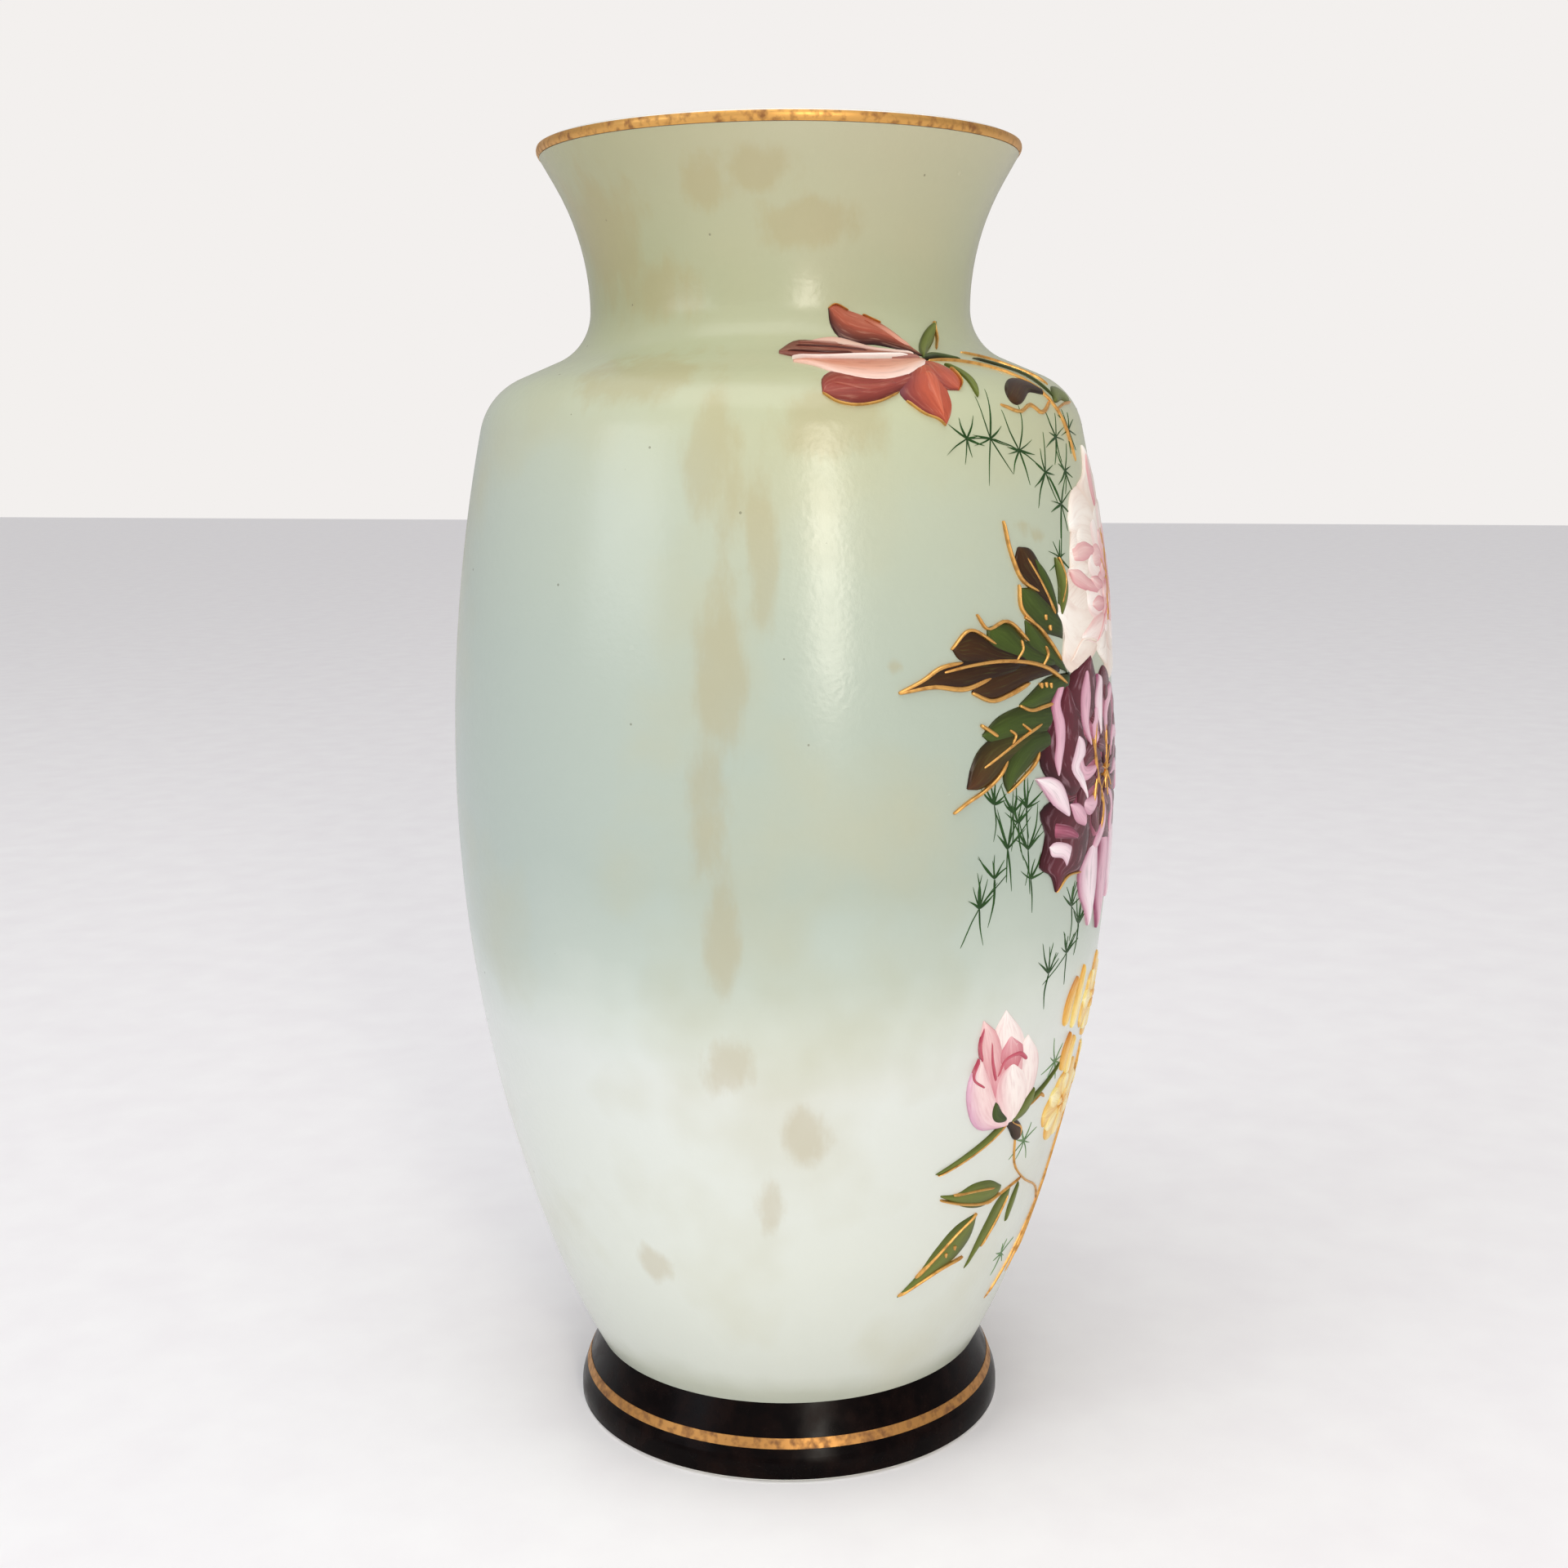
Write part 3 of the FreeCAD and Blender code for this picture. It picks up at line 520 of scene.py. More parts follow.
@dataclass(frozen=True)
class WornGilt:
    """Burnished liquid gold, fired on: warm metal, rubbed thin so that brown shows through in flecks.

    The eye sees bright grains of gold among duller ones that no longer mirror the light.
    """

    name: str
    bright: str = "#d9a55c"
    dull: str = "#8a5a2c"
    roughness: float = 0.34
    fleck_mm: float = 2.2
    # Level of the fleck noise below which the gold is dull.
    wear: float = 0.35

    def build(self) -> bpy.types.Material:
        """Make the material."""
        material, tree = new_material(self.name)
        place = add_node(tree, "TexCoord").outputs["Object"]
        fleck = add_node(tree, "TexNoise",
                         {"Vector": place, "Scale": 1 / (self.fleck_mm * MM), "Detail": 6.0}).outputs["Fac"]
        tint = add_node(tree, "ValToRGB", {"Fac": fleck},
                        stops=((self.wear, self.dull), (self.wear + 0.22, self.bright)))
        shine = add_node(tree, "MapRange",
                         {"Value": fleck, "From Min": self.wear, "From Max": self.wear + 0.2, "To Min": 0.35,
                          "To Max": 0.9})
        gloss = add_node(tree, "MapRange",
                         {"Value": fleck, "From Min": 0.3, "From Max": 0.7, "To Min": self.roughness + 0.2,
                          "To Max": self.roughness})
        bump = add_node(tree, "Bump", {"Strength": 0.2, "Distance": 0.2 * MM, "Height": fleck})
        shader = add_node(tree, "BsdfPrincipled",
                          {"Base Color": tint.outputs["Color"], "Metallic": shine.outputs[0],
                           "Roughness": gloss.outputs[0], "Normal": bump.outputs["Normal"]})
        add_node(tree, "OutputMaterial", {"Surface": shader.outputs["BSDF"]})
        return material


@dataclass(frozen=True)
class BrushedEnamel:
    """Raised overglaze enamel: opaque paint laid with a loaded brush, so bristle streaks run along a dab.

    The dab's own colours are in the mesh's paint attribute. The streaks lighten and darken them, and the
    eye sees the way that each stroke was pulled.
    """

    name: str
    dark: str
    light: str
    streak: float = 0.35
    bristle_mm: float = 0.55
    # A bristle mark's length over its width.
    drag: float = 12.0
    roughness: float = 0.26

    def build(self) -> bpy.types.Material:
        """Make the material."""
        material, tree = new_material(self.name)
        paint = add_node(tree, "Attribute", attribute_name=PAINT).outputs["Color"]
        stroke = add_node(tree, "UVMap", uv_map=STROKE_UV).outputs["UV"]
        # The map is in millimetres.
        marks = (1 / (self.drag * self.bristle_mm), 1 / self.bristle_mm, 1.0)
        scale = add_node(tree, "Mapping", {"Vector": stroke, "Scale": marks})
        bristle = add_node(tree, "TexNoise",
                           {"Vector": scale.outputs["Vector"], "Scale": 1.0, "Detail": 4.0,
                            "Distortion": 0.3}).outputs["Fac"]
        shade = add_node(tree, "MapRange",
                         {"Value": bristle, "From Min": 0.5, "From Max": 0.26, "To Max": self.streak})
        shine = add_node(tree, "MapRange",
                         {"Value": bristle, "From Min": 0.54, "From Max": 0.76, "To Max": self.streak})
        darker = add_node(tree, "Mix", {"Factor": shade.outputs[0], 6: paint, 7: linear(self.dark)},
                          data_type="RGBA")
        lighter = add_node(tree, "Mix", {"Factor": shine.outputs[0], 6: darker.outputs[2],
                                         7: linear(self.light)}, data_type="RGBA")
        bump = add_node(tree, "Bump", {"Strength": 0.35, "Distance": 0.15 * MM, "Height": bristle})
        shader = add_node(tree, "BsdfPrincipled",
                          {"Base Color": lighter.outputs[2], "Roughness": self.roughness, "IOR": 1.5,
                           "Specular IOR Level": 0.22, "Normal": bump.outputs["Normal"]})
        add_node(tree, "OutputMaterial", {"Surface": shader.outputs["BSDF"]})
        return material


# ---------------------------------------------------------------- dabs of enamel


class Shape(Enum):
    """How a dab's width runs from root to tip: power at the root, power of the fall and power at the tip."""

    PETAL = (0.55, 3.2, 0.6)
    ROUND = (0.5, 6.0, 0.5)
    LEAF = (0.7, 2.0, 0.95)
    BLADE = (0.25, 1.2, 1.0)
    CORD = (0.14, 14.0, 0.55)

    def width(self, share: np.ndarray) -> np.ndarray:
        """Width along a dab.

        Args:
            share: Shares of the length.

        Returns:
            The width at each share, 1 at the widest.
        """
        root, fall, tip = self.value
        full = share ** root * np.maximum(1 - share ** fall, 0) ** tip
        widest = np.linspace(0, 1, 101)
        return full / (widest ** root * (1 - widest ** fall) ** tip).max()


@dataclass(frozen=True)
class Wash:
    """A dab's colours in three strips, each from root to tip: left of the path, along it and right of it.

    A lower spread lets the edge colours reach further in.
    """

    left: tuple[str, str]
    middle: tuple[str, str]
    right: tuple[str, str]
    spread: float = 1.4

    def colours(self, share: np.ndarray, side: np.ndarray) -> np.ndarray:
        """Blend the strips.

        Args:
            share: Share of the way from root to tip.
            side: -1 at the left edge to 1 at the right edge.

        Returns:
            Linear colour and alpha for each point.
        """
        strips = [np.array([linear(c) for c in pair]) for pair in (self.left, self.middle, self.right)]
        along = share[:, None]
        left, middle, right = (pair[0] * (1 - along) + pair[1] * along for pair in strips)
        reach = np.abs(side)[:, None] ** self.spread
        return middle * (1 - reach) + np.where(side[:, None] < 0, left, right) * reach

    def mirrored(self) -> "Wash":
        """Change left and right over."""
        return replace(self, left=self.right, right=self.left)


def plain(root: str, tip: str) -> Wash:
    """Make a wash that is the same across the dab.

    Args:
        root: Colour at the root.
        tip: Colour at the tip.

    Returns:
        The wash.
    """
    return Wash((root, tip), (root, tip), (root, tip))


def along_path(path: Path, share: np.ndarray) -> np.ndarray:
    """Find points on a smooth line through a few (turn, height) points.

    Args:
        path: The points, from root to tip.
        share: Shares of the way, 0 to 1.

    Returns:
        One row of turn and height for each share.
    """
    points = np.array(path, float)
    steps = np.linalg.norm(np.diff(points, axis=0), axis=1)
    knots = np.concatenate([[0], np.cumsum(steps)]) / steps.sum()
    if len(points) > 2:
        slopes = np.gradient(points, knots, axis=0)
    else:
        slopes = np.repeat(np.diff(points, axis=0), 2, axis=0)
    span = np.clip(np.searchsorted(knots, share, side="right") - 1, 0, len(points) - 2)
    gap = knots[span + 1] - knots[span]
    t = ((share - knots[span]) / gap)[:, None]
    gap = gap[:, None]
    return ((1 + 2 * t) * (1 - t) ** 2 * points[span] + t * (1 - t) ** 2 * gap * slopes[span]
            + t * t * (3 - 2 * t) * points[span + 1] + t * t * (t - 1) * gap * slopes[span + 1])


@dataclass(frozen=True)
class Dab:
    """One dab of enamel: a path, a half width, a rise above the ground and its colours.

    A dab with a far edge is drawn between two edges instead, both from root to tip: its path on the left of
    the way to the tip, and the far edge on the right.

    Attributes:
        rise: Height of its crown over its edge.
        lift: Height of its edge over the ground, where it lies on other dabs.
        ruffle: How much its width waves, as a share.
        flat: Power of the crown's section, from 0 for flat to 1 for a parabola.
    """

    path: Path
    width: float
    wash: Wash
    far_edge: Path = ()
    shape: Shape = Shape.PETAL
    rise: float = 0.55
    lift: float = 0.0
    ruffle: float = 0.0
    flat: float = 0.5


@dataclass
class Blank:
    """A flat closed blank that dabs are copied from: a fine grid with a top, an underside and side walls."""

    steps_along: int
    steps_across: int
    # A dab's wall shows this much, and its underside is sunk this far into the ground.
    edge: float = 0.06
    sunk: float = 0.3
    # The crown comes up over one part in this many of the length, at both ends.
    end_parts: float = 12.0
    ruffle_waves: float = 2.15
    # A dab's map is moved by up to this much both ways.
    map_reach: int = 400
    mesh: bpy.types.Mesh = field(init=False)

    def __post_init__(self) -> None:
        """Model the blank: a grid is extruded upwards by one unit."""
        clear_selection()
        bpy.ops.mesh.primitive_grid_add(x_subdivisions=self.steps_along, y_subdivisions=self.steps_across,
                                        size=2)
        bpy.ops.object.mode_set(mode="EDIT")
        bpy.ops.mesh.select_all(action="SELECT")
        bpy.ops.mesh.extrude_region_move(TRANSFORM_OT_translate={"value": (0, 0, 1)})
        bpy.ops.mesh.select_all(action="SELECT")
        bpy.ops.mesh.normals_make_consistent(inside=False)
        bpy.ops.object.mode_set(mode="OBJECT")
        maker = bpy.context.active_object
        self.mesh = maker.data
        self.mesh.uv_layers[0].name = STROKE_UV
        self.mesh.attributes.new(PAINT, "FLOAT_COLOR", "POINT")
        self.mesh.use_fake_user = True
        bpy.data.objects.remove(maker)

    def lay(self, dab: Dab, chance: np.random.Generator) -> bpy.types.Object:
        """Copy the blank and wrap the copy on the vase as one dab.

        Args:
            dab: The dab to lay.
            chance: Seeded random draws, for the bristle marks' offset and the ruffle's phase.

        Returns:
            The dab's object.
        """
        mesh = self.mesh.copy()
        grid = np.zeros(len(mesh.vertices) * 3)
        mesh.vertices.foreach_get("co", grid)
        x, side, is_top = grid.reshape(-1, 3).T
        share = (1 - np.cos(np.pi * (x + 1) / 2)) / 2
        turn, height = self.between(dab, share, side) if dab.far_edge else self.beside(dab, share, side,
                                                                                       chance)
        crown = np.maximum(1 - side ** 2, 0) ** dab.flat
        ends = np.sqrt(np.clip(np.minimum(share, 1 - share) * self.end_parts, 0, 1))
        top = COAT + dab.lift + self.edge + dab.rise * crown * ends
        lift = np.where(is_top > 0.5, top, COAT - self.sunk)
        mesh.vertices.foreach_set("co", OUTLINE.place(turn, height, lift).ravel())
        mesh.attributes[PAINT].data.foreach_set("color", dab.wash.colours(share, side).ravel())
        self.write_map(mesh, share * self.length(dab), side * dab.width, chance)
        piece = bpy.data.objects.new("dab", mesh)
        bpy.context.scene.collection.objects.link(piece)
        return piece

    def between(self, dab: Dab, share: np.ndarray, side: np.ndarray) -> np.ndarray:
        """Spread a dab's points between its two edges.

        Args:
            dab: The dab.
            share: Share of the way from root to tip.
            side: -1 at the left edge to 1 at the right edge.

        Returns:
            The points' turns and heights.
        """
        across = (1 + side[:, None]) / 2
        return (along_path(dab.path, share) * (1 - across) + along_path(dab.far_edge, share) * across).T

    def beside(self, dab: Dab, share: np.ndarray, side: np.ndarray,
               chance: np.random.Generator) -> tuple[np.ndarray, np.ndarray]:
        """Turn and height of a dab's points, spread to both sides of its path.

        Args:
            dab: The dab.
            share: Share of the way from root to tip.
            side: -1 at the left edge to 1 at the right edge.
            chance: Seeded random draws for the ruffle's phase.

        Returns:
            The points' turns and heights.
        """
        step = 0.01
        turn, height = along_path(dab.path, share).T
        ahead = along_path(dab.path, np.minimum(share + step, 1))
        ahead = ahead - along_path(dab.path, np.maximum(share - step, 0))
        radius = OUTLINE.radius(height)
        stretch = np.sqrt(1 + OUTLINE.slope(height) ** 2)
        across, up = np.radians(ahead[:, 0]) * radius, ahead[:, 1] * stretch
        length = np.hypot(across, up)
        phase = chance.uniform(0, 2 * math.pi, 2)
        wave = np.sin(share * 2 * self.ruffle_waves * math.pi + np.where(side < 0, phase[0], phase[1]))
        reach = dab.width * dab.shape.width(share) * side * (1 + dab.ruffle * wave)
        return (turn + np.degrees(reach * up / length / radius), height - reach * across / length / stretch)

    def length(self, dab: Dab) -> float:
        """Measure a dab's path on the glass.

        Args:
            dab: The dab.

        Returns:
            Its length in millimetres.
        """
        turn, height = along_path(dab.path, np.linspace(0, 1, 9)).T
        middle = (height[1:] + height[:-1]) / 2
        across = np.radians(np.diff(turn)) * OUTLINE.radius(middle)
        up = np.diff(height) * np.sqrt(1 + OUTLINE.slope(middle) ** 2)
        return float(np.hypot(across, up).sum())

    def write_map(self, mesh: bpy.types.Mesh, along: np.ndarray, across: np.ndarray,
                  chance: np.random.Generator) -> None:
        """Write the dab's map in millimetres, with an offset of its own so that no two dabs share streaks.

        Args:
            mesh: The dab's mesh.
            along: Distance of each point from the root.
            across: Distance of each point from the path.
            chance: Seeded random draws for the offset.
        """
        corner = np.zeros(len(mesh.loops), int)
        mesh.loops.foreach_get("vertex_index", corner)
        offset = chance.integers(0, self.map_reach, 2)
        values = np.stack([along[corner] + offset[0], across[corner] + offset[1]], -1)
        mesh.uv_layers[0].data.foreach_set("uv", values.ravel())


class Brush(Enum):
    """Blanks by how fine a dab needs to be: steps along and across."""

    BROAD = (26, 12)
    FINE = (10, 3)
    LINE = (22, 4)


@dataclass
class Painter:
    """Lays dabs and joins them into finished pieces."""

    seed: int = 7
    merge_mm: float = 0.0005
    # Edges sharper than this, in degrees, stay sharp.
    crease: float = 50.0
    blanks: dict[Brush, Blank] = field(default_factory=dict)

    def paint(self, name: str, dabs: Iterable[Dab], brush: Brush, material: bpy.types.Material, slot: str,
              *nodes: str) -> bpy.types.Object:
        """Lay a group of dabs and join them into one piece.

        Args:
            name: The piece's name.
            dabs: The dabs, from the lowest layer to the highest.
            brush: How fine the dabs are.
            material: The piece's enamel or gold.
            slot: The record's material slot.
            nodes: CAD nodes that the piece stands for.

        Returns:
            The finished piece.
        """
        if brush not in self.blanks:
            self.blanks[brush] = Blank(*brush.value)
        chance = np.random.default_rng([self.seed, len(name)])
        laid = [self.blanks[brush].lay(dab, chance) for dab in dabs]
        clear_selection()
        for piece in laid:
            piece.select_set(True)
        bpy.context.view_layer.objects.active = laid[0]
        bpy.ops.object.join()
        bpy.ops.object.mode_set(mode="EDIT")
        bpy.ops.mesh.select_all(action="SELECT")
        bpy.ops.mesh.remove_doubles(threshold=self.merge_mm * MM)
        bpy.ops.mesh.normals_make_consistent(inside=False)
        bpy.ops.object.mode_set(mode="OBJECT")
        bpy.ops.object.shade_smooth_by_angle(angle=math.radians(self.crease))
        piece = bpy.context.active_object
        dress(piece, material)
        return keep(piece, name, slot, *nodes)


# How much shorter a ring's petals are, for each step of two and of three petals.
UNEVEN = (0.12, 0.05)


def ring(centre: Point, inner: float, outer: float, count: int, width: float, wash: Wash,
         start: float = 0.0,
         sweep: float = 360.0, bend: float = 0.0, squeeze: float = 1.0, **more: Any) -> list[Dab]:
    """Lay petals about a centre.

    Args:
        centre: Turn and height of the flower's centre.
        inner: Distance of the roots from the centre.
        outer: Distance of the tips.
        count: How many petals.
        width: Half width of a petal.
        wash: Colours of a petal.
        start: Direction of the first petal, in degrees clockwise from upright.
        sweep: Angle that the petals spread over.
        bend: How far the middle of a petal bows to its right, as a share of its length.
        squeeze: Height of the ring over its width.
        more: Other fields of Dab.

    Returns:
        The petals, in order round the centre.
    """
    petals = []
    for number in range(count):
        angle = math.radians(start + sweep * number / count)
        way = np.array([math.sin(angle), math.cos(angle) * squeeze])
        side = np.array([math.cos(angle), -math.sin(angle) * squeeze])
        # The petals differ a little in length, as a painter's hand makes them.
        reach = outer * (1 - UNEVEN[0] * (number % 2) - UNEVEN[1] * (number % 3))
        middle = way * (inner + reach) / 2 + side * bend * (reach - inner)
        path = tuple(OUTLINE.shift(centre, *step) for step in (way * inner, middle, way * reach))
        petals.append(Dab(path, width, wash if number % 2 else wash.mirrored(), **more))
    return petals


# ---------------------------------------------------------------- the glass, its ground and the foot


@dataclass
class VaseBody:
    """The glass with its ground coat and gilt lip."""

    coat_top: float = 327.1
    steps_round: int = 256
    # Distance between the rings, and the heights between which they are fine.
    coarse: float = 3.0
    fine: float = 0.8
    neck_low: float = 255.0
    neck_high: float = 297.0
    merge_mm: float = 0.002
    # Edges sharper than this, in degrees, stay sharp.
    crease: float = 40.0
    stain_depth: float = 0.78
    # Old stains: turn, height, width round the glass and height of each, from the shoulder down.
    stains: tuple[tuple[float, float, float, float], ...] = (
        (-81, 252, 8, 26), (-73, 232, 4, 34), (-79, 206, 7, 30), (-81, 176, 5, 30), (-80, 148, 4, 22),
        (-80, 116, 7, 12), (-66, 98, 7, 12), (-73, 80, 4, 11), (-98, 272, 22, 10), (-60, 262, 14, 12),
        (-99, 60, 7, 7), (150, 240, 12, 26), (120, 120, 14, 18), (60, 285, 14, 10), (-160, 90, 12, 16),
        (-118, 300, 9, 8), (-88, 314, 12, 10), (-27, 237, 3, 3), (-23, 236, 3, 3), (-53, 208, 2, 3),
        (-128, 306, 30, 26), (-104, 292, 20, 14), (-62, 306, 20, 9), (-75, 318, 16, 7),
    )

    def heights(self) -> np.ndarray:
        """Heights of the coat's rings, closer together on the shoulder and throat."""
        low = np.arange(OUTLINE.crease_height, self.neck_low, self.coarse)
        neck = np.arange(self.neck_low, self.neck_high, self.fine)
        high = np.arange(self.neck_high, self.coat_top, self.coarse)
        return np.concatenate([low, neck, high, [self.coat_top]])

    def turn_shell(self, outline: Sequence[Point]) -> bpy.types.Object:
        """Turn a closed outline of (radius, height) points about the axis.

        Args:
            outline: The points in order round the section. The last one is joined to the first.

        Returns:
            The turned object.
        """
        clear_selection()
        start = np.array(outline[0])
        bpy.ops.mesh.primitive_plane_add(size=MM, location=(start[0] * MM, 0, start[1] * MM))
        bpy.ops.object.transform_apply(location=True)
        bpy.ops.object.mode_set(mode="EDIT")
        bpy.ops.mesh.select_all(action="SELECT")
        bpy.ops.mesh.merge(type="CENTER")
        for point in [*outline[1:], outline[0]]:
            move = (np.array(point) - start) * MM
            bpy.ops.mesh.extrude_region_move(TRANSFORM_OT_translate={"value": (move[0], 0, move[1])})
            start = np.array(point)
        bpy.ops.mesh.select_all(action="SELECT")
        bpy.ops.mesh.spin(steps=self.steps_round, angle=2 * math.pi, center=(0, 0, 0), axis=(0, 0, 1))
        bpy.ops.mesh.select_all(action="SELECT")
        bpy.ops.mesh.remove_doubles(threshold=self.merge_mm * MM)
        bpy.ops.mesh.normals_make_consistent(inside=False)
        bpy.ops.object.mode_set(mode="OBJECT")
        bpy.ops.object.shade_smooth_by_angle(angle=math.radians(self.crease))
        return bpy.context.active_object

    def mark_stains(self, piece: bpy.types.Object) -> None:
        """Write how stained each point of the coat is."""
        place = np.zeros(len(piece.data.vertices) * 3)
        piece.data.vertices.foreach_get("co", place)
        x, y, z = place.reshape(-1, 3).T
        turn, height = np.degrees(np.arctan2(x, -y)), z / MM
        marked = np.zeros(len(turn))
        for stain_turn, stain_height, wide, tall in self.stains:
            off = (turn - stain_turn + 180) % 360 - 180
            near = np.exp(-(off / wide) ** 2 - ((height - stain_height) / tall) ** 2)
            marked = np.maximum(marked, self.stain_depth * near)
        values = piece.data.attributes.new(STAIN, "FLOAT", "POINT").data
        values.foreach_set("value", marked.astype(np.float32))

    def build_ground(self) -> None:
        """Make the thin shell of ground enamel over the glass."""
        heights = self.heights()
        outer = OUTLINE.profile(heights, COAT)
        inner = OUTLINE.profile(heights[::2], 0.0)
        piece = self.turn_shell([*outer, *reversed(inner)])
        self.mark_stains(piece)
        dress(piece, SageGround().build())
        keep(piece, "sage_ground_coat", "sage_ground", "ground_coat")

    def build(self) -> None:
        """Make the ground and dress the CAD nodes of the glass and the lip."""
        self.build_ground()
        dress(frame["nodes"]["glass_body"], OpalGlass().build())
        dress(frame["nodes"]["rim_gilt_band"], WornGilt("worn_gilt_rim", wear=0.3).build())


@dataclass
class Foot:
    """The pressed foot under its dark enamel, with one gilt band."""

    def build(self) -> None:
        """Dress the foot's CAD nodes."""
        dress(frame["nodes"]["glass_foot"], OpalGlass().build())
        dress(frame["nodes"]["foot_enamel"], BrownEnamel().build())
        gilt = WornGilt("worn_gilt_foot", bright="#bd8a4e", dull="#80552c", roughness=0.4, wear=0.34)
        dress(frame["nodes"]["foot_gilt_band"], gilt.build())


# ---------------------------------------------------------------- the painting


GOLD = plain("#c08a44", "#e0ac62")


def gold_line(*path: Point, width: float = 0.4, lift: float = 0.45, shape: Shape = Shape.CORD) -> Dab:
    """Draw a raised gold line.

    Args:
        path: Turn and height of the points that it runs through.
        width: Its half width.
        lift: Height of its edge over the ground.
        shape: How its width runs.

    Returns:
        The line.
    """
    return Dab(path, width, GOLD, shape=shape, rise=0.42, lift=lift)


def gold_dot(point: Point, size: float = 0.7) -> Dab:
    """Set a raised gold dot.

    Args:
        point: Turn and height of its middle.
        size: Half its height.

    Returns:
        The dot, a little taller than it is wide.
    """
    slimness = 0.7
    path = (OUTLINE.shift(point, 0, -size), OUTLINE.shift(point, 0, size))
    return Dab(path, size * slimness, GOLD, shape=Shape.ROUND, rise=0.5, lift=0.5)


def patch(left: Path, right: Path, wash: Wash, **more: Any) -> Dab:
    """Lay a dab between two edges.

    Args:
        left: The left edge from root to tip, as turns and heights.
        right: The right edge.
        wash: The dab's colours.
        more: Other fields of Dab.

    Returns:
        The dab.
    """
    # The width only sets how far the bristle marks are spread.
    width = 3.0
    return Dab(left, width, wash, right, **more)


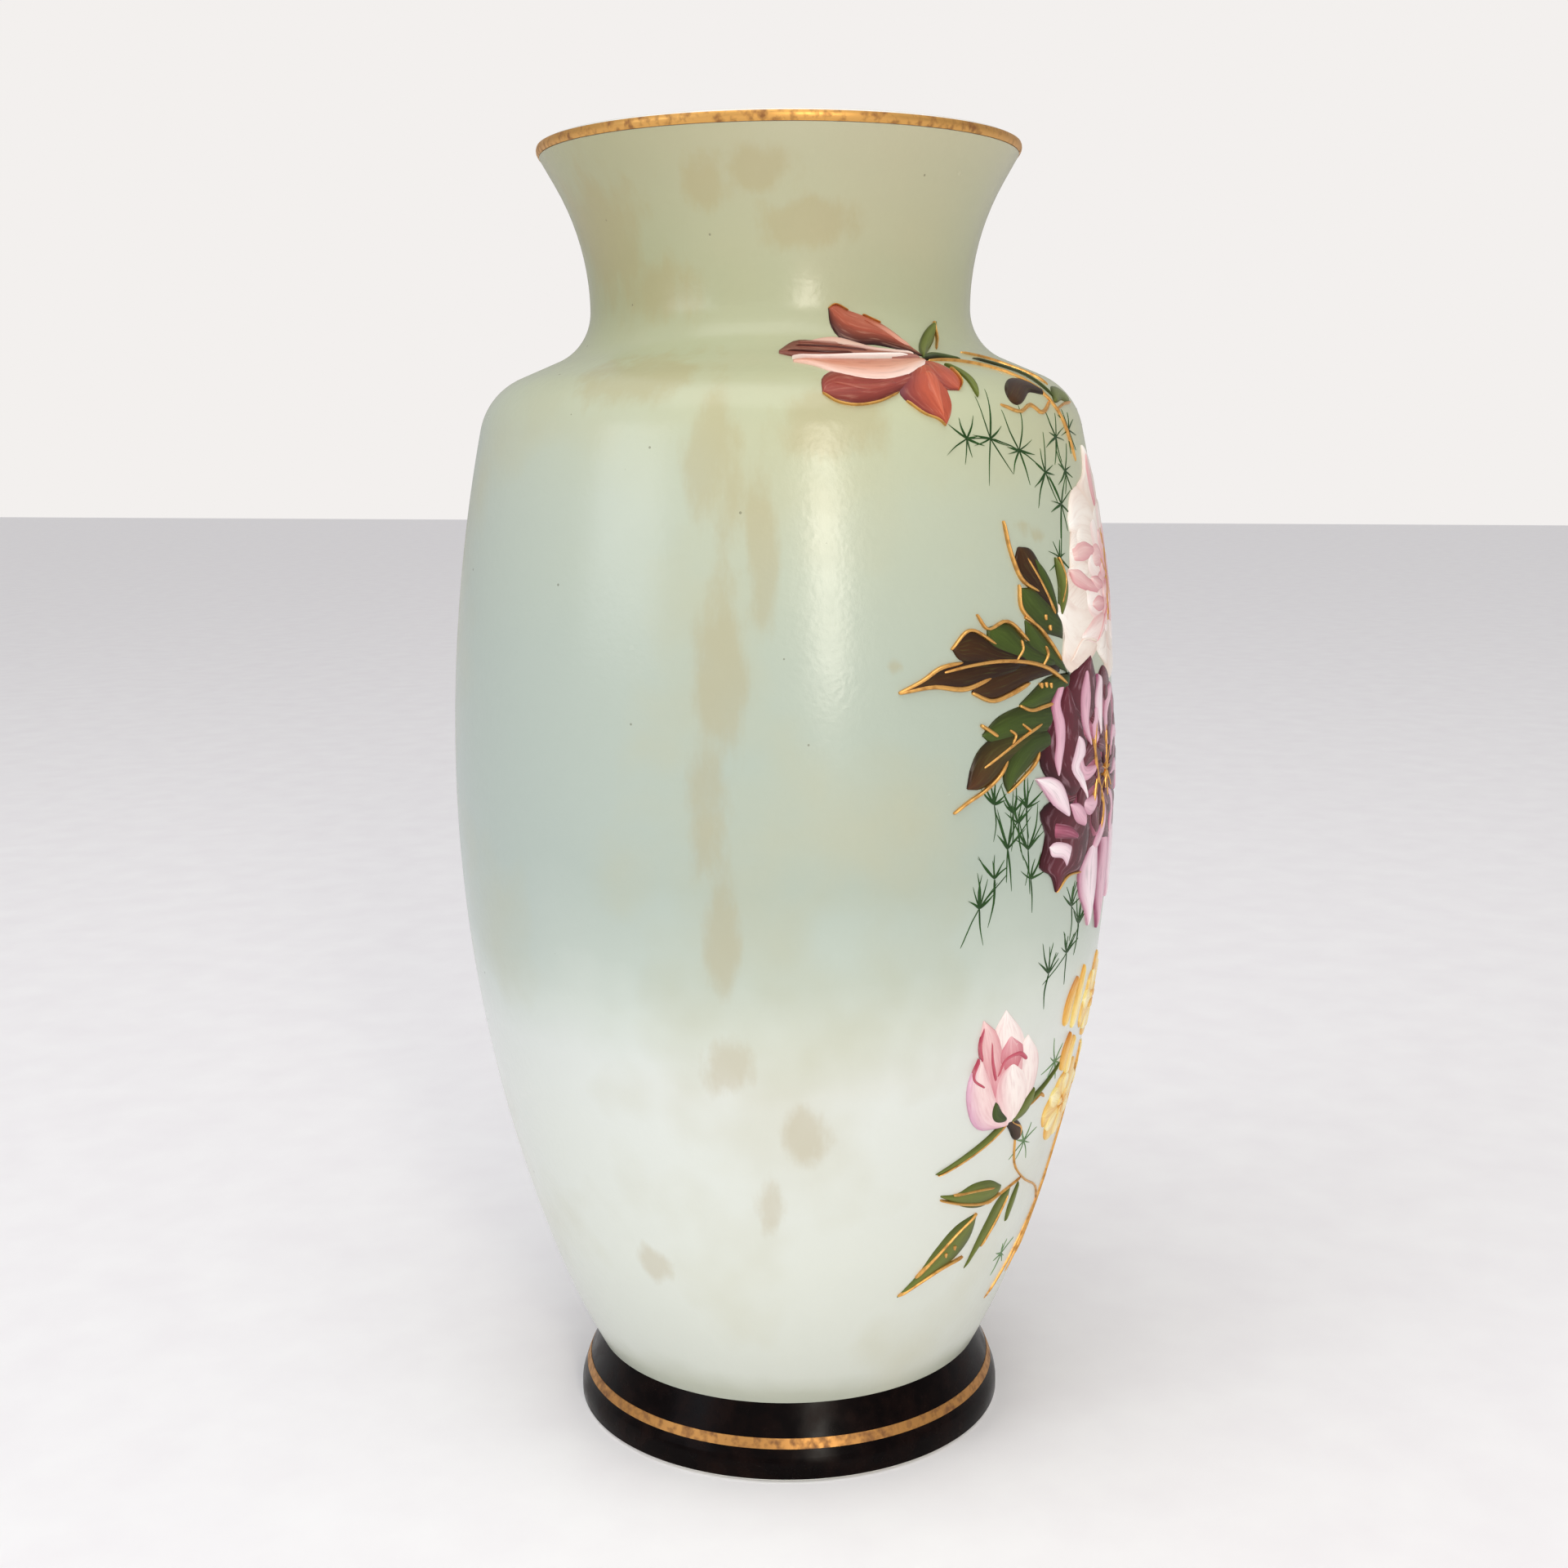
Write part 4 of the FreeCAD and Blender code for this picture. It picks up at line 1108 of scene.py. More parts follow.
@dataclass
class RustRosebud:
    """The rust and salmon rosebud that leans out over the shoulder."""

    painter: Painter
    upper: Wash = Wash(("#200a0a", "#2c0e0c"), ("#a04c3a", "#a8563f"), ("#c48068", "#a4563f"), spread=0.75)
    behind: Wash = Wash(("#f3e6dc", "#e6cabc"), ("#ecd6c8", "#dcb4a2"), ("#d8ac9a", "#d2a08e"))
    spear: Wash = Wash(("#b8847a", "#7a4438"), ("#a06454", "#70362c"), ("#7e4236", "#5a261e"))
    pale: Wash = Wash(("#f8ebe4", "#e8bdaa"), ("#e4b09c", "#cc8268"), ("#b45c46", "#c47a60"), spread=0.9)
    brick: Wash = Wash(("#4c1c1c", "#64281f"), ("#8c3e36", "#964438"), ("#642826", "#74302a"), spread=1.8)
    rust: Wash = Wash(("#a84a36", "#b0563e"), ("#b4523c", "#b8583f"), ("#40203a", "#86382e"), spread=1.0)

    def build(self) -> None:
        """Lay the petals from the lowest up."""
        dabs = [
            patch(((-44, 270), (-49.1, 267.6), (-53.8, 265.4), (-57.7, 264.9), (-60.5, 265.6),
                   (-62.8, 267.4)),
                  ((-44, 272), (-54.3, 271.4), (-60.6, 272.2), (-62.5, 270.8), (-62.9, 267.6)), self.brick),
            patch(((-35.7, 274.6), (-34.4, 273), (-35, 269.8), (-36.5, 268.1)),
                  ((-40, 275), (-42, 271), (-40, 268.4), (-36.7, 268)), self.rust, lift=0.04),
            patch(((-37, 274.6), (-39.2, 268), (-39.4, 264.8), (-40.2, 262.4), (-41.3, 260.3)),
                  ((-44, 273), (-48, 269.8), (-49, 267.4), (-47.4, 264.7), (-45, 262.8), (-42.6, 261.6),
                   (-41.5, 260.3)),
                  self.rust, lift=0.1),
            patch(((-39.2, 275.4), (-48.3, 276.2), (-56, 277.6), (-62, 279.3)),
                  ((-39, 276.2), (-48.5, 278.5), (-56.2, 280.6), (-62.2, 279.8)), self.behind, lift=0.06),
            patch(((-36.4, 276), (-41.2, 277.8), (-45.8, 278.7), (-52.2, 279.1), (-55.1, 280.7),
                   (-56.5, 283.2),
                   (-56.8, 287.3)),
                  ((-35.8, 277.2), (-37.3, 280.6), (-41, 283.5), (-45.6, 285.3), (-51.1, 286.9),
                   (-55.3, 288.2),
                   (-56.7, 287.7)), self.upper, lift=0.16),
            patch(((-38, 274.2), (-46.4, 270.8), (-50.7, 269.8), (-54.3, 270), (-59.1, 271.4),
                   (-63.6, 273.6),
                   (-67.4, 274.5)),
                  ((-37.3, 275.3), (-51.6, 275), (-60.5, 275), (-67.4, 274.8)), self.pale, lift=0.26),
            patch(((-38.2, 275.4), (-52.2, 275.3), (-61.5, 275.2), (-67.8, 275.9), (-70.4, 276.6)),
                  ((-38, 276), (-48.3, 276.9), (-54.2, 278.3), (-61.4, 279.4), (-66.8, 279.3),
                   (-70.4, 276.9)),
                  self.spear, lift=0.4),
            Dab(((-41, 275.6), (-54.3, 275.3), (-61.6, 275), (-67.6, 275.2)), 0.42,
                plain("#fbf3ee", "#f6e6de"),
                shape=Shape.BLADE, lift=0.7),
            Dab(((-39, 276), (-46, 276.6), (-56, 277.8)), 0.6, plain("#f3ddd2", "#b98070"),
                shape=Shape.BLADE,
                lift=0.66),
            Dab(((-50, 276.3), (-58, 277.2), (-67, 277.6)), 0.45, plain("#54241c", "#3e1712"),
                shape=Shape.BLADE,
                lift=0.7),
            Dab(((-54, 275.9), (-61, 276), (-68.5, 276.4)), 0.36, plain("#54241c", "#3e1712"),
                shape=Shape.BLADE,
                lift=0.7),
            Dab(((-56, 278.2), (-61, 278.6), (-66, 278.4)), 0.3, plain("#c09484", "#9a6252"),
                shape=Shape.BLADE,
                lift=0.7),
            Dab(((-37, 278), (-41, 281.8), (-47, 284.4)), 0.9, plain("#dca28c", "#b8684f"),
                shape=Shape.BLADE,
                lift=0.5),
            Dab(((-41, 272), (-42, 267), (-41.8, 262)), 1.5, plain("#bc5c44", "#c8684c"), shape=Shape.BLADE,
                lift=0.4),
            Dab(((-49, 269.2), (-55, 268.4), (-61, 269.4)), 0.9, plain("#8c4038", "#ac5c4c"),
                shape=Shape.BLADE,
                lift=0.3),
        ]
        finish = BrushedEnamel("rust_rose_enamel", "#4a1512", "#e6b196", streak=0.24).build()
        self.painter.paint("rust_rosebud_petals", dabs, Brush.BROAD, finish, "rust_enamel", "rosebud_rust")


@dataclass
class PinkRosebuds:
    """The pale pink bud low on the left, and its mate high on the right."""

    painter: Painter
    cream: Wash = Wash(("#e8c4c4", "#f4e2de"), ("#f3e2dc", "#faf2ee"), ("#eccfcc", "#f6e8e4"))
    inner: Wash = Wash(("#c86a7c", "#eecac8"), ("#d98c98", "#f0cfcc"), ("#b8465a", "#e3a6aa"))
    cup: Wash = Wash(("#c995b4", "#dcaec2"), ("#ecc9cc", "#f6e2de"), ("#f4dcd8", "#e2a4ac"))
    front: Wash = Wash(("#e8bcc0", "#d98c98"), ("#f5e6e0", "#fbf5f1"), ("#efd6d2", "#f6e6e2"))
    hollow: Wash = Wash(("#b04258", "#d88c98"), ("#c8606e", "#ecbcc0"), ("#b84c60", "#d98c96"))
    deep: Wash = Wash(("#a83a50", "#b84a5e"), ("#b84a5e", "#cc7480"), ("#b04258", "#c2606e"))

    def bud(self, base: Point, lean: float, size: float) -> list[Dab]:
        """Lay the petals of one bud.

        Args:
            base: Where the bud joins its calyx.
            lean: Degrees that the bud is turned from the low bud's lie, towards +X.
            size: Size over that of the low bud.

        Returns:
            The bud's dabs.
        """
        way = math.radians(lean)

        def route(*points: Point) -> Path:
            """Place points that are given in millimetres across and up from the bud's base."""
            return tuple(OUTLINE.shift(base, size * (across * math.cos(way) + up * math.sin(way)),
                                       size * (up * math.cos(way) - across * math.sin(way)))
                         for across, up in points)

        return [
            patch(route((-3, 6), (-9.8, 18), (-9.5, 26), (-6.6, 31)),
                  route((1, 5), (2.8, 15), (0.5, 23), (-6.4, 31)),
                  self.cream),
            patch(route((3.4, 1), (0, 10), (-2, 18), (2.2, 22.6)),
                  route((4.5, 1), (8.5, 8), (7.8, 16), (2.4, 22.6)),
                  self.cream.mirrored(), lift=0.1),
            patch(route((-6.8, 6), (-12.2, 17), (-13.7, 25), (-13.2, 29.6)),
                  route((-2, 8), (-5, 19), (-9, 26), (-13, 29.6)), self.inner, lift=0.14),
            patch(route((-4, 4), (-8.5, 13), (-8, 19), (-3, 23)),
                  route((0, 4), (2.5, 12), (1.5, 19), (-2.6, 23)),
                  self.inner.mirrored(), lift=0.24),
            patch(route((-6, 13), (-8, 19), (-5, 24)), route((0.5, 14), (1.2, 19.5), (-4.4, 24.2)),
                  self.hollow, lift=0.3),
            patch(route((-1.3, -1), (-10.5, 0.4), (-15.2, 8), (-15.5, 15), (-13.2, 20)),
                  route((-0.8, -0.6), (-5.4, 6.3), (-9, 13), (-12.8, 20)), self.cup, lift=0.36),
            patch(route((-1.5, -1), (-7, 7.6), (-6.8, 14), (-3.2, 17)),
                  route((3.3, 0), (5.2, 5.6), (3.2, 12), (-2.6, 17)),
                  self.front, lift=0.46),
            Dab(route((2.4, 16.5), (-1, 18.8), (-5, 18.4), (-7.4, 14)), 0.6 * size, self.deep,
                shape=Shape.BLADE,
                lift=0.6),
            Dab(route((-7.6, 13), (-9.4, 18), (-10.6, 24)), 0.5 * size, self.deep, shape=Shape.BLADE,
                lift=0.5),
            Dab(route((-12.6, 19), (-13.6, 23), (-13.2, 28)), 0.4 * size, self.deep, shape=Shape.BLADE,
                lift=0.4),
            Dab(route((-11, 12), (-14.6, 15), (-13.6, 20)), 0.35 * size, self.deep, shape=Shape.BLADE,
                lift=0.66),
        ]

    def build(self) -> None:
        """Lay both buds."""
        finish = BrushedEnamel("pink_rose_enamel", "#b65a6c", "#fffaf6", streak=0.26).build()
        low = self.bud((-26, 94), 0, 1.0)
        high = self.bud((37, 229), 46, 0.9)
        self.painter.paint("low_rosebud_petals", low, Brush.BROAD, finish, "pink_enamel", "rosebud_pink")
        self.painter.paint("side_rosebud_petals", high, Brush.BROAD, finish, "pink_enamel", "rosebud_side")


@dataclass
class WhitePeony:
    """The big cream peony with pink folds at its heart."""

    painter: Painter
    centre: Point = (4.0, 224.0)
    outer: Wash = Wash(("#c49a84", "#e6d4c6"), ("#e6d0c0", "#f6f1e9"), ("#b88c7c", "#dcc6b8"), spread=2.0)
    shell: Wash = Wash(("#d8b29c", "#f3ebe2"), ("#ecdccc", "#fbf8f2"), ("#cf9f94", "#eedfd2"), spread=1.6)
    middle: Wash = Wash(("#dc9c9c", "#f3e4de"), ("#efcfc8", "#faf4ef"), ("#cc7c84", "#efcfc9"))
    fold: Wash = Wash(("#c46c7c", "#e2a8aa"), ("#dc9ca0", "#f0cfca"), ("#b85c70", "#e6b4b2"))
    heart: Wash = Wash(("#b8566a", "#e6b0b0"), ("#d98a90", "#f3d6d2"), ("#a8455c", "#dd9a9e"))

    def build(self) -> None:
        """Lay the petals from the outside in, then the heart."""
        dabs = [
            *ring(self.centre, 8, 32, 9, 11.5, self.outer, start=8, ruffle=0.05, shape=Shape.ROUND,
                  squeeze=0.84),
            patch(((4, 214), (-8, 205), (-15, 202), (-18.8, 205), (-18.3, 212), (-20, 217.2)),
                  ((4, 219), (-6, 221), (-12, 222.3), (-17.3, 221.6), (-20.1, 217.6)), self.shell,
                  lift=0.08),
            patch(((2, 220), (-6, 220.5), (-13, 222), (-14.9, 226)),
                  ((2, 227), (-5, 229.5), (-11, 229.6), (-14.7, 227)),
                  self.shell, lift=0.12),
            patch(((2, 230), (-6, 231.5), (-12.7, 235.6)),
                  ((4, 240), (-2, 246), (-10, 244.9), (-13, 238.5)),
                  self.shell.mirrored(), lift=0.16),
            patch(((-2, 236), (-7.3, 245.6), (-2, 249), (1, 255.5)),
                  ((9, 240), (9, 248), (4.5, 254), (1.4, 255.8)),
                  self.shell, lift=0.2),
            *ring(self.centre, 5, 25, 8, 8.0, self.outer, start=30, bend=0.1, ruffle=0.06, lift=0.22,
                  squeeze=0.85),
            *ring(self.centre, 3, 20, 9, 5.6, self.middle, start=12, bend=-0.12, ruffle=0.07, lift=0.34,
                  squeeze=0.9),
            *ring(self.centre, 2, 14, 8, 4.2, self.heart, start=20, bend=0.2, ruffle=0.08, lift=0.46),
            *ring(self.centre, 1, 8, 6, 2.8, self.heart.mirrored(), start=0, bend=-0.25, lift=0.6),
            patch(((-3, 229.6), (-8, 228.2), (-12.9, 228.6)), ((-3, 231.4), (-9.4, 233.4), (-13.1, 231.4)),
                  self.fold,
                  lift=0.44),
            patch(((-3, 219.4), (-9, 221.2), (-14.2, 224), (-14.9, 226.2)),
                  ((-3, 222.6), (-8, 224.6), (-11.8, 226.8), (-14.8, 226.8)), self.fold, lift=0.46),
            patch(((0, 221), (-4, 220.4), (-6.8, 223.6)), ((0, 223), (-3, 224.6), (-6.7, 224.4)),
                  self.heart, lift=0.6),
            patch(((0, 216), (-4, 215.6), (-7.5, 217.4)), ((0, 219), (-4, 220), (-7.4, 218.4)),
                  self.heart.mirrored(),
                  lift=0.6),
            patch(((0, 211), (-5, 208.6), (-12.6, 210)), ((0, 216), (-5, 215.4), (-12.4, 211.2)),
                  self.middle, lift=0.5),
            Dab(((2.7, 217), (-2, 213), (-6, 208.8)), 0.7, self.heart, shape=Shape.BLADE, lift=0.66),
            Dab(((-6, 209), (-12, 210), (-17, 205.4)), 0.5, self.shell, shape=Shape.BLADE, lift=0.5),
            patch(((1, 240), (-1.2, 247), (1, 254)), ((4, 241), (4, 248), (1.6, 254.2)), self.fold,
                  lift=0.4),
        ]
        finish = BrushedEnamel("cream_peony_enamel", "#c08e80", "#fffdf8", streak=0.25,
                               bristle_mm=0.7).build()
        self.painter.paint("white_peony_petals", dabs, Brush.BROAD, finish, "white_enamel", "white_peony")


@dataclass
class PlumPeony:
    """The burgundy peony with pale bands on its swirling petals."""

    painter: Painter
    centre: Point = (-3.0, 177.0)
    dark: Wash = Wash(("#2a060c", "#4a0e1a"), ("#561020", "#641a2a"), ("#22050a", "#3c0a14"))
    banded: Wash = Wash(("#3a0818", "#5a1024"), ("#94405c", "#b06078"), ("#320714", "#641428"))
    pale: Wash = Wash(("#8c3858", "#b87090"), ("#dca6ba", "#e8c0ce"), ("#7a2848", "#a85c7c"), spread=2.2)
    white: Wash = Wash(("#b06c8c", "#e0b4c6"), ("#f0d8e2", "#faf0f3"), ("#a05878", "#d8a4b8"), spread=2.4)

    def swirls(self) -> list[Dab]:
        """The petals of the flower's left side, one by one."""
        return [
            patch(((-14, 190), (-20.6, 197), (-16.5, 202.5), (-9.2, 206)),
                  ((-7, 190), (-6, 198), (-8.9, 206)), self.dark,
                  lift=0.2),
            patch(((-18, 172), (-26, 183.3), (-25.2, 190), (-21.5, 197), (-18.5, 200.5)),
                  ((-10, 176), (-12, 190), (-18.3, 200.5)), self.dark.mirrored(), lift=0.26),
            patch(((-19.2, 200), (-20.6, 196.4), (-19.4, 191.4), (-19.6, 186.6), (-20.6, 181.9),
                   (-21.2, 179)),
                  ((-21.4, 200), (-23.2, 196.3), (-22.8, 191.9), (-22.5, 187), (-22.8, 183), (-21.6, 179)),
                  self.pale,
                  lift=0.5),
            patch(((-15.2, 187.8), (-13.2, 186.2), (-12.6, 182.8), (-15, 180.4), (-13.8, 178.5),
                   (-11.5, 171.6)),
                  ((-15.4, 187.6), (-17.3, 183.6), (-18.3, 180.6), (-17.2, 178.3), (-15.4, 176.1),
                   (-11.8, 171.5)),
                  self.white, lift=0.5),
            patch(((-10.8, 203), (-10, 196), (-11.2, 190), (-10, 184)),
                  ((-12, 203), (-14.6, 197), (-14, 190), (-10.4, 184)),
                  self.pale, lift=0.46),
            patch(((-4, 200), (-4.4, 193), (-5.6, 186)), ((-6, 201), (-8.6, 195), (-5.9, 186)), self.white,
                  lift=0.46),
            patch(((-10.4, 165), (-10.2, 159.6), (-12.6, 154.4), (-18, 154), (-20.5, 150.9)),
                  ((-16, 172), (-23.4, 173.3), (-25.8, 171.5), (-25.5, 169), (-24.4, 166.3), (-24.7, 163.1),
                   (-25.4, 157.6), (-22.7, 155.5), (-20.8, 150.9)), self.dark, lift=0.3),
            patch(((-15, 162.4), (-18.5, 163), (-22.5, 164.2)),
                  ((-14.6, 163.6), (-17.2, 166.4), (-22.6, 168.6)),
                  self.banded, lift=0.5),
            patch(((-18.5, 155.8), (-20, 158.6), (-23, 160.1), (-23.6, 162.3)),
                  ((-16.6, 161.5), (-19, 162.9), (-22.7, 163.4), (-23.7, 162.6)), self.white, lift=0.54),
            patch(((-18.2, 168.4), (-22, 171.4), (-24.6, 175.3), (-27, 179.2)),
                  ((-17.8, 169), (-18.9, 174.2), (-20.7, 177.6), (-23.5, 179.3), (-27, 179.5)), self.white,
                  lift=0.52),
            patch(((-12.7, 165), (-16.3, 166.8), (-18.1, 171.4)),
                  ((-12.3, 165.6), (-12.1, 167.8), (-15.1, 171.4), (-17.9, 171.8)), self.pale, lift=0.6),
            patch(((-6, 160), (-5, 150), (-6, 143), (-7.2, 138.6)),
                  ((-10.3, 159), (-13.5, 154.5), (-12.8, 148.3), (-9.8, 143.1), (-7.6, 138.6)), self.white,
                  lift=0.42),
            patch(((1, 160), (2, 150), (-1, 136)), ((-5, 160), (-6, 148), (-1.6, 136)), self.pale,
                  lift=0.46),
            patch(((7, 161), (8, 152), (5.4, 142)), ((1, 160), (1.5, 150), (5, 142)), self.white.mirrored(),
                  lift=0.42),
        ]

    def build(self) -> None:
        """Lay the dark outer petals, then the swirls over them."""
        dabs = [
            *ring(self.centre, 6, 30, 11, 7.5, self.dark, start=4, ruffle=0.09, squeeze=0.85),
            *ring(self.centre, 4, 24, 10, 4.6, self.banded, start=20, bend=0.22, ruffle=0.08, lift=0.14,
                  squeeze=0.92),
            *ring(self.centre, 3, 21, 9, 3.6, self.dark.mirrored(), start=0, bend=0.3, lift=0.26,
                  ruffle=0.06),
            *ring(self.centre, 5, 22, 8, 2.5, self.pale, start=24, bend=-0.3, lift=0.36, ruffle=0.1),
            *ring(self.centre, 2, 11, 7, 2.3, self.dark, start=5, bend=0.3, lift=0.5),
            *self.swirls(),
        ]
        finish = BrushedEnamel("plum_peony_enamel", "#1c0409", "#ecc3d2", streak=0.3,
                               bristle_mm=0.6).build()
        self.painter.paint("plum_peony_petals", dabs, Brush.BROAD, finish, "plum_enamel", "plum_peony")


@dataclass
class YellowBlossoms:
    """Three small open blossoms of quick yellow and orange strokes."""

    painter: Painter
    centres: tuple[Point, ...] = ((4.0, 116.0), (-5.0, 91.0), (17.0, 93.0))
    yellow: Wash = Wash(("#e6b24c", "#f3e08c"), ("#f2d878", "#f9f0c4"), ("#dca044", "#f2dc84"))
    orange: Wash = Wash(("#c88038", "#ecc060"), ("#e6ae54", "#f4d888"), ("#bc7430", "#e8b458"))

    def build(self) -> None:
        """Lay the blossoms and the loose strokes between them."""
        dabs = []
        for number, centre in enumerate(self.centres):
            dabs += ring(centre, 2, 12, 6, 4.2, self.orange, start=10 + 17 * number, ruffle=0.06)
            dabs += ring(centre, 2, 10.5, 6, 3.2, self.yellow, start=38 + 17 * number, ruffle=0.06,
                         lift=0.2)
            dabs += ring(centre, 0.5, 4, 5, 1.4, self.orange.mirrored(), start=5, lift=0.42)
        loose = (((-9, 126), (-11, 121), (-12, 114)), ((-6, 128), (-7, 120), (-8, 112)),
                 ((-8, 111), (-9, 106), (-9, 101)), ((-5, 109), (-6, 104), (-6, 99)))
        dabs += [Dab(path, 2.0, self.yellow if number % 2 else self.orange, lift=0.3)
                 for number, path in enumerate(loose)]
        finish = BrushedEnamel("yellow_blossom_enamel", "#b8702c", "#fdf4c4", streak=0.35).build()
        self.painter.paint("yellow_blossom_petals", dabs, Brush.BROAD, finish, "yellow_enamel",
                           "yellow_blossoms")


@dataclass
class Leaves:
    """The leaves of the spray: half dark brown, half olive, each with raised gold veins and edges."""

    painter: Painter
    olive: Wash = Wash(("#2a2a10", "#3a4a1a"), ("#33421a", "#46581f"), ("#1c1408", "#333c16"))
    brown: Wash = Wash(("#1a0c05", "#3a2210"), ("#26150a", "#462c14"), ("#120a05", "#2c1c0c"))
    mixed: Wash = Wash(("#2e3614", "#3c200e"), ("#3a4a1c", "#54301a"), ("#262e12", "#2c170a"))
    fresh: Wash = Wash(("#3d4518", "#4c5620"), ("#66702e", "#717c36"), ("#4a5420", "#5f6a2c"))

    def upper_left(self) -> list[Dab]:
        """Leaves beside the white peony and the plum peony, on the left."""
        return [
            patch(((-18.5, 211), (-26, 214.5), (-29, 219), (-29, 223.6)),
                  ((-18, 215), (-22.5, 221), (-26, 223.5), (-28.8, 223.7)), self.olive),
            patch(((-20, 217), (-25.7, 222.6), (-29, 227), (-29.5, 230.5), (-28.7, 232.8)),
                  ((-19.6, 217.5), (-21.5, 224), (-23.5, 229), (-26, 232.6), (-28.4, 233)), self.brown,
                  lift=0.08),
            Dab(((-20, 217), (-22.3, 224), (-25, 230)), 1.7, self.olive, shape=Shape.LEAF, lift=0.36),
            Dab(((-19, 216), (-17.2, 224), (-19, 230)), 2.2, self.fresh, shape=Shape.LEAF, lift=0.2),
            patch(((-17.5, 203), (-24, 206.5), (-28, 211), (-28.4, 216)),
                  ((-17, 201), (-19, 206), (-22.7, 211), (-25.3, 214), (-28.2, 216.4)), self.olive),
            patch(((-22, 204.5), (-33, 208), (-36.5, 211.5), (-36.6, 215)),
                  ((-20, 206), (-27.8, 211), (-33, 216.2), (-36.4, 215.4)), self.olive, lift=0.08),
            patch(((-28, 205.5), (-38, 207.5), (-42, 208.6), (-43.4, 211.2)),
                  ((-28, 208), (-35, 211.2), (-40, 215), (-43.3, 211.6)), self.brown, lift=0.14),
            patch(((-20, 203.5), (-28.5, 202), (-32.6, 200), (-36.2, 199), (-40, 201)),
                  ((-20, 205.5), (-33, 206.4), (-38, 204.6), (-40, 201.3)), self.brown, lift=0.06),
            patch(((-17, 200), (-22, 196.6), (-25, 196), (-28, 195.8), (-30.5, 197)),
                  ((-17, 203), (-24, 202.5), (-28, 199.5), (-30.4, 197.4)), self.olive, lift=0.08),
            patch(((-30, 205), (-38, 203), (-41.7, 202.2), (-46.7, 203), (-52.4, 202)),
                  ((-30, 208), (-41.5, 208.2), (-45.6, 207), (-48.6, 204.6), (-52.4, 202.2)), self.brown,
                  lift=0.2),
            patch(((-22, 189), (-30.9, 189.2), (-36.9, 189.5), (-38.2, 191)),
                  ((-21, 196.6), (-30.7, 196.8), (-35.1, 195), (-38.2, 191.4)), self.olive, lift=0.08),
            patch(((-24, 186), (-33.5, 183.5), (-35.2, 181.4), (-39.2, 178.9), (-41, 179.2)),
                  ((-24, 191), (-33, 191), (-36.9, 190), (-38.9, 188), (-40.4, 184.3), (-41.2, 179.5)),
                  self.mixed, lift=0.14),
            patch(((-22, 186), (-26.2, 185.2), (-27.8, 183.4), (-31.3, 180), (-33.2, 177.6)),
                  ((-23, 191), (-30.9, 189.4), (-33.3, 185.6), (-34, 179.4), (-33.4, 177.7)), self.olive,
                  lift=0.2),
        ]

    def low_left(self) -> list[Dab]:
        """Leaves on the stems at the foot of the spray, on the left."""
        return [
            patch(((-23.5, 74.4), (-27, 71.5), (-33.5, 73), (-37, 75.6), (-40, 77.8)),
                  ((-23.5, 75.6), (-28, 78.6), (-32.6, 79), (-36, 77.6), (-40, 78.2)), self.fresh),
            patch(((-29.3, 69), (-29.6, 63), (-33, 58), (-38.4, 55.4), (-46, 50.4)),
                  ((-29.6, 70), (-34, 68.4), (-38.8, 62.4), (-41.8, 56.5), (-46, 50.8)), self.fresh),
            patch(((-19.8, 73.6), (-20.3, 69), (-22.3, 62.5), (-25, 59.6), (-28.8, 53.6)),
                  ((-20.4, 74.2), (-23.4, 71.5), (-25.8, 65.5), (-28.8, 54)), self.fresh),
            Dab(((-17, 74), (-17.5, 69), (-18, 63)), 1.3, self.fresh, shape=Shape.LEAF),
            Dab(((-27, 94), (-31, 90.5), (-36, 87.5), (-42, 84.6)), 0.95, self.fresh, shape=Shape.BLADE,
                lift=0.2),
            Dab(((-26, 94.5), (-20, 97.5), (-16, 100), (-11, 104)), 0.9, self.fresh, shape=Shape.BLADE,
                lift=0.2),
            Dab(((-26, 94), (-22, 97), (-20, 101)), 2.2, self.fresh, shape=Shape.LEAF, lift=0.5),
            Dab(((-27, 95), (-30, 97), (-31, 101)), 2.0, self.olive, shape=Shape.LEAF, lift=0.5),
            Dab(((-27.5, 95.5), (-24, 92), (-21.5, 88)), 1.9, self.brown, shape=Shape.ROUND, lift=0.3),
        ]

    def shoulder(self) -> list[Dab]:
        """Calyx, sepals and small leaves on the rust rosebud's branch."""
        return [
            Dab(((-37, 275.5), (-29, 280), (-21, 285)), 1.5, self.fresh, shape=Shape.LEAF, lift=0.3),
            Dab(((-38, 275), (-33, 276), (-27, 275)), 1.3, self.olive, shape=Shape.LEAF, lift=0.4),
            Dab(((-34, 274), (-32.5, 271), (-33, 266.5)), 1.0, self.fresh, shape=Shape.LEAF, lift=0.3),
            Dab(((-20, 276), (-12, 273), (-8, 267)), 1.1, self.olive, shape=Shape.LEAF),
            Dab(((-11, 268), (-18, 269.5), (-25, 266)), 2.9, self.brown, shape=Shape.ROUND),
            Dab(((-9, 266), (-4, 268), (2, 267)), 2.4, self.fresh, shape=Shape.ROUND),
        ]

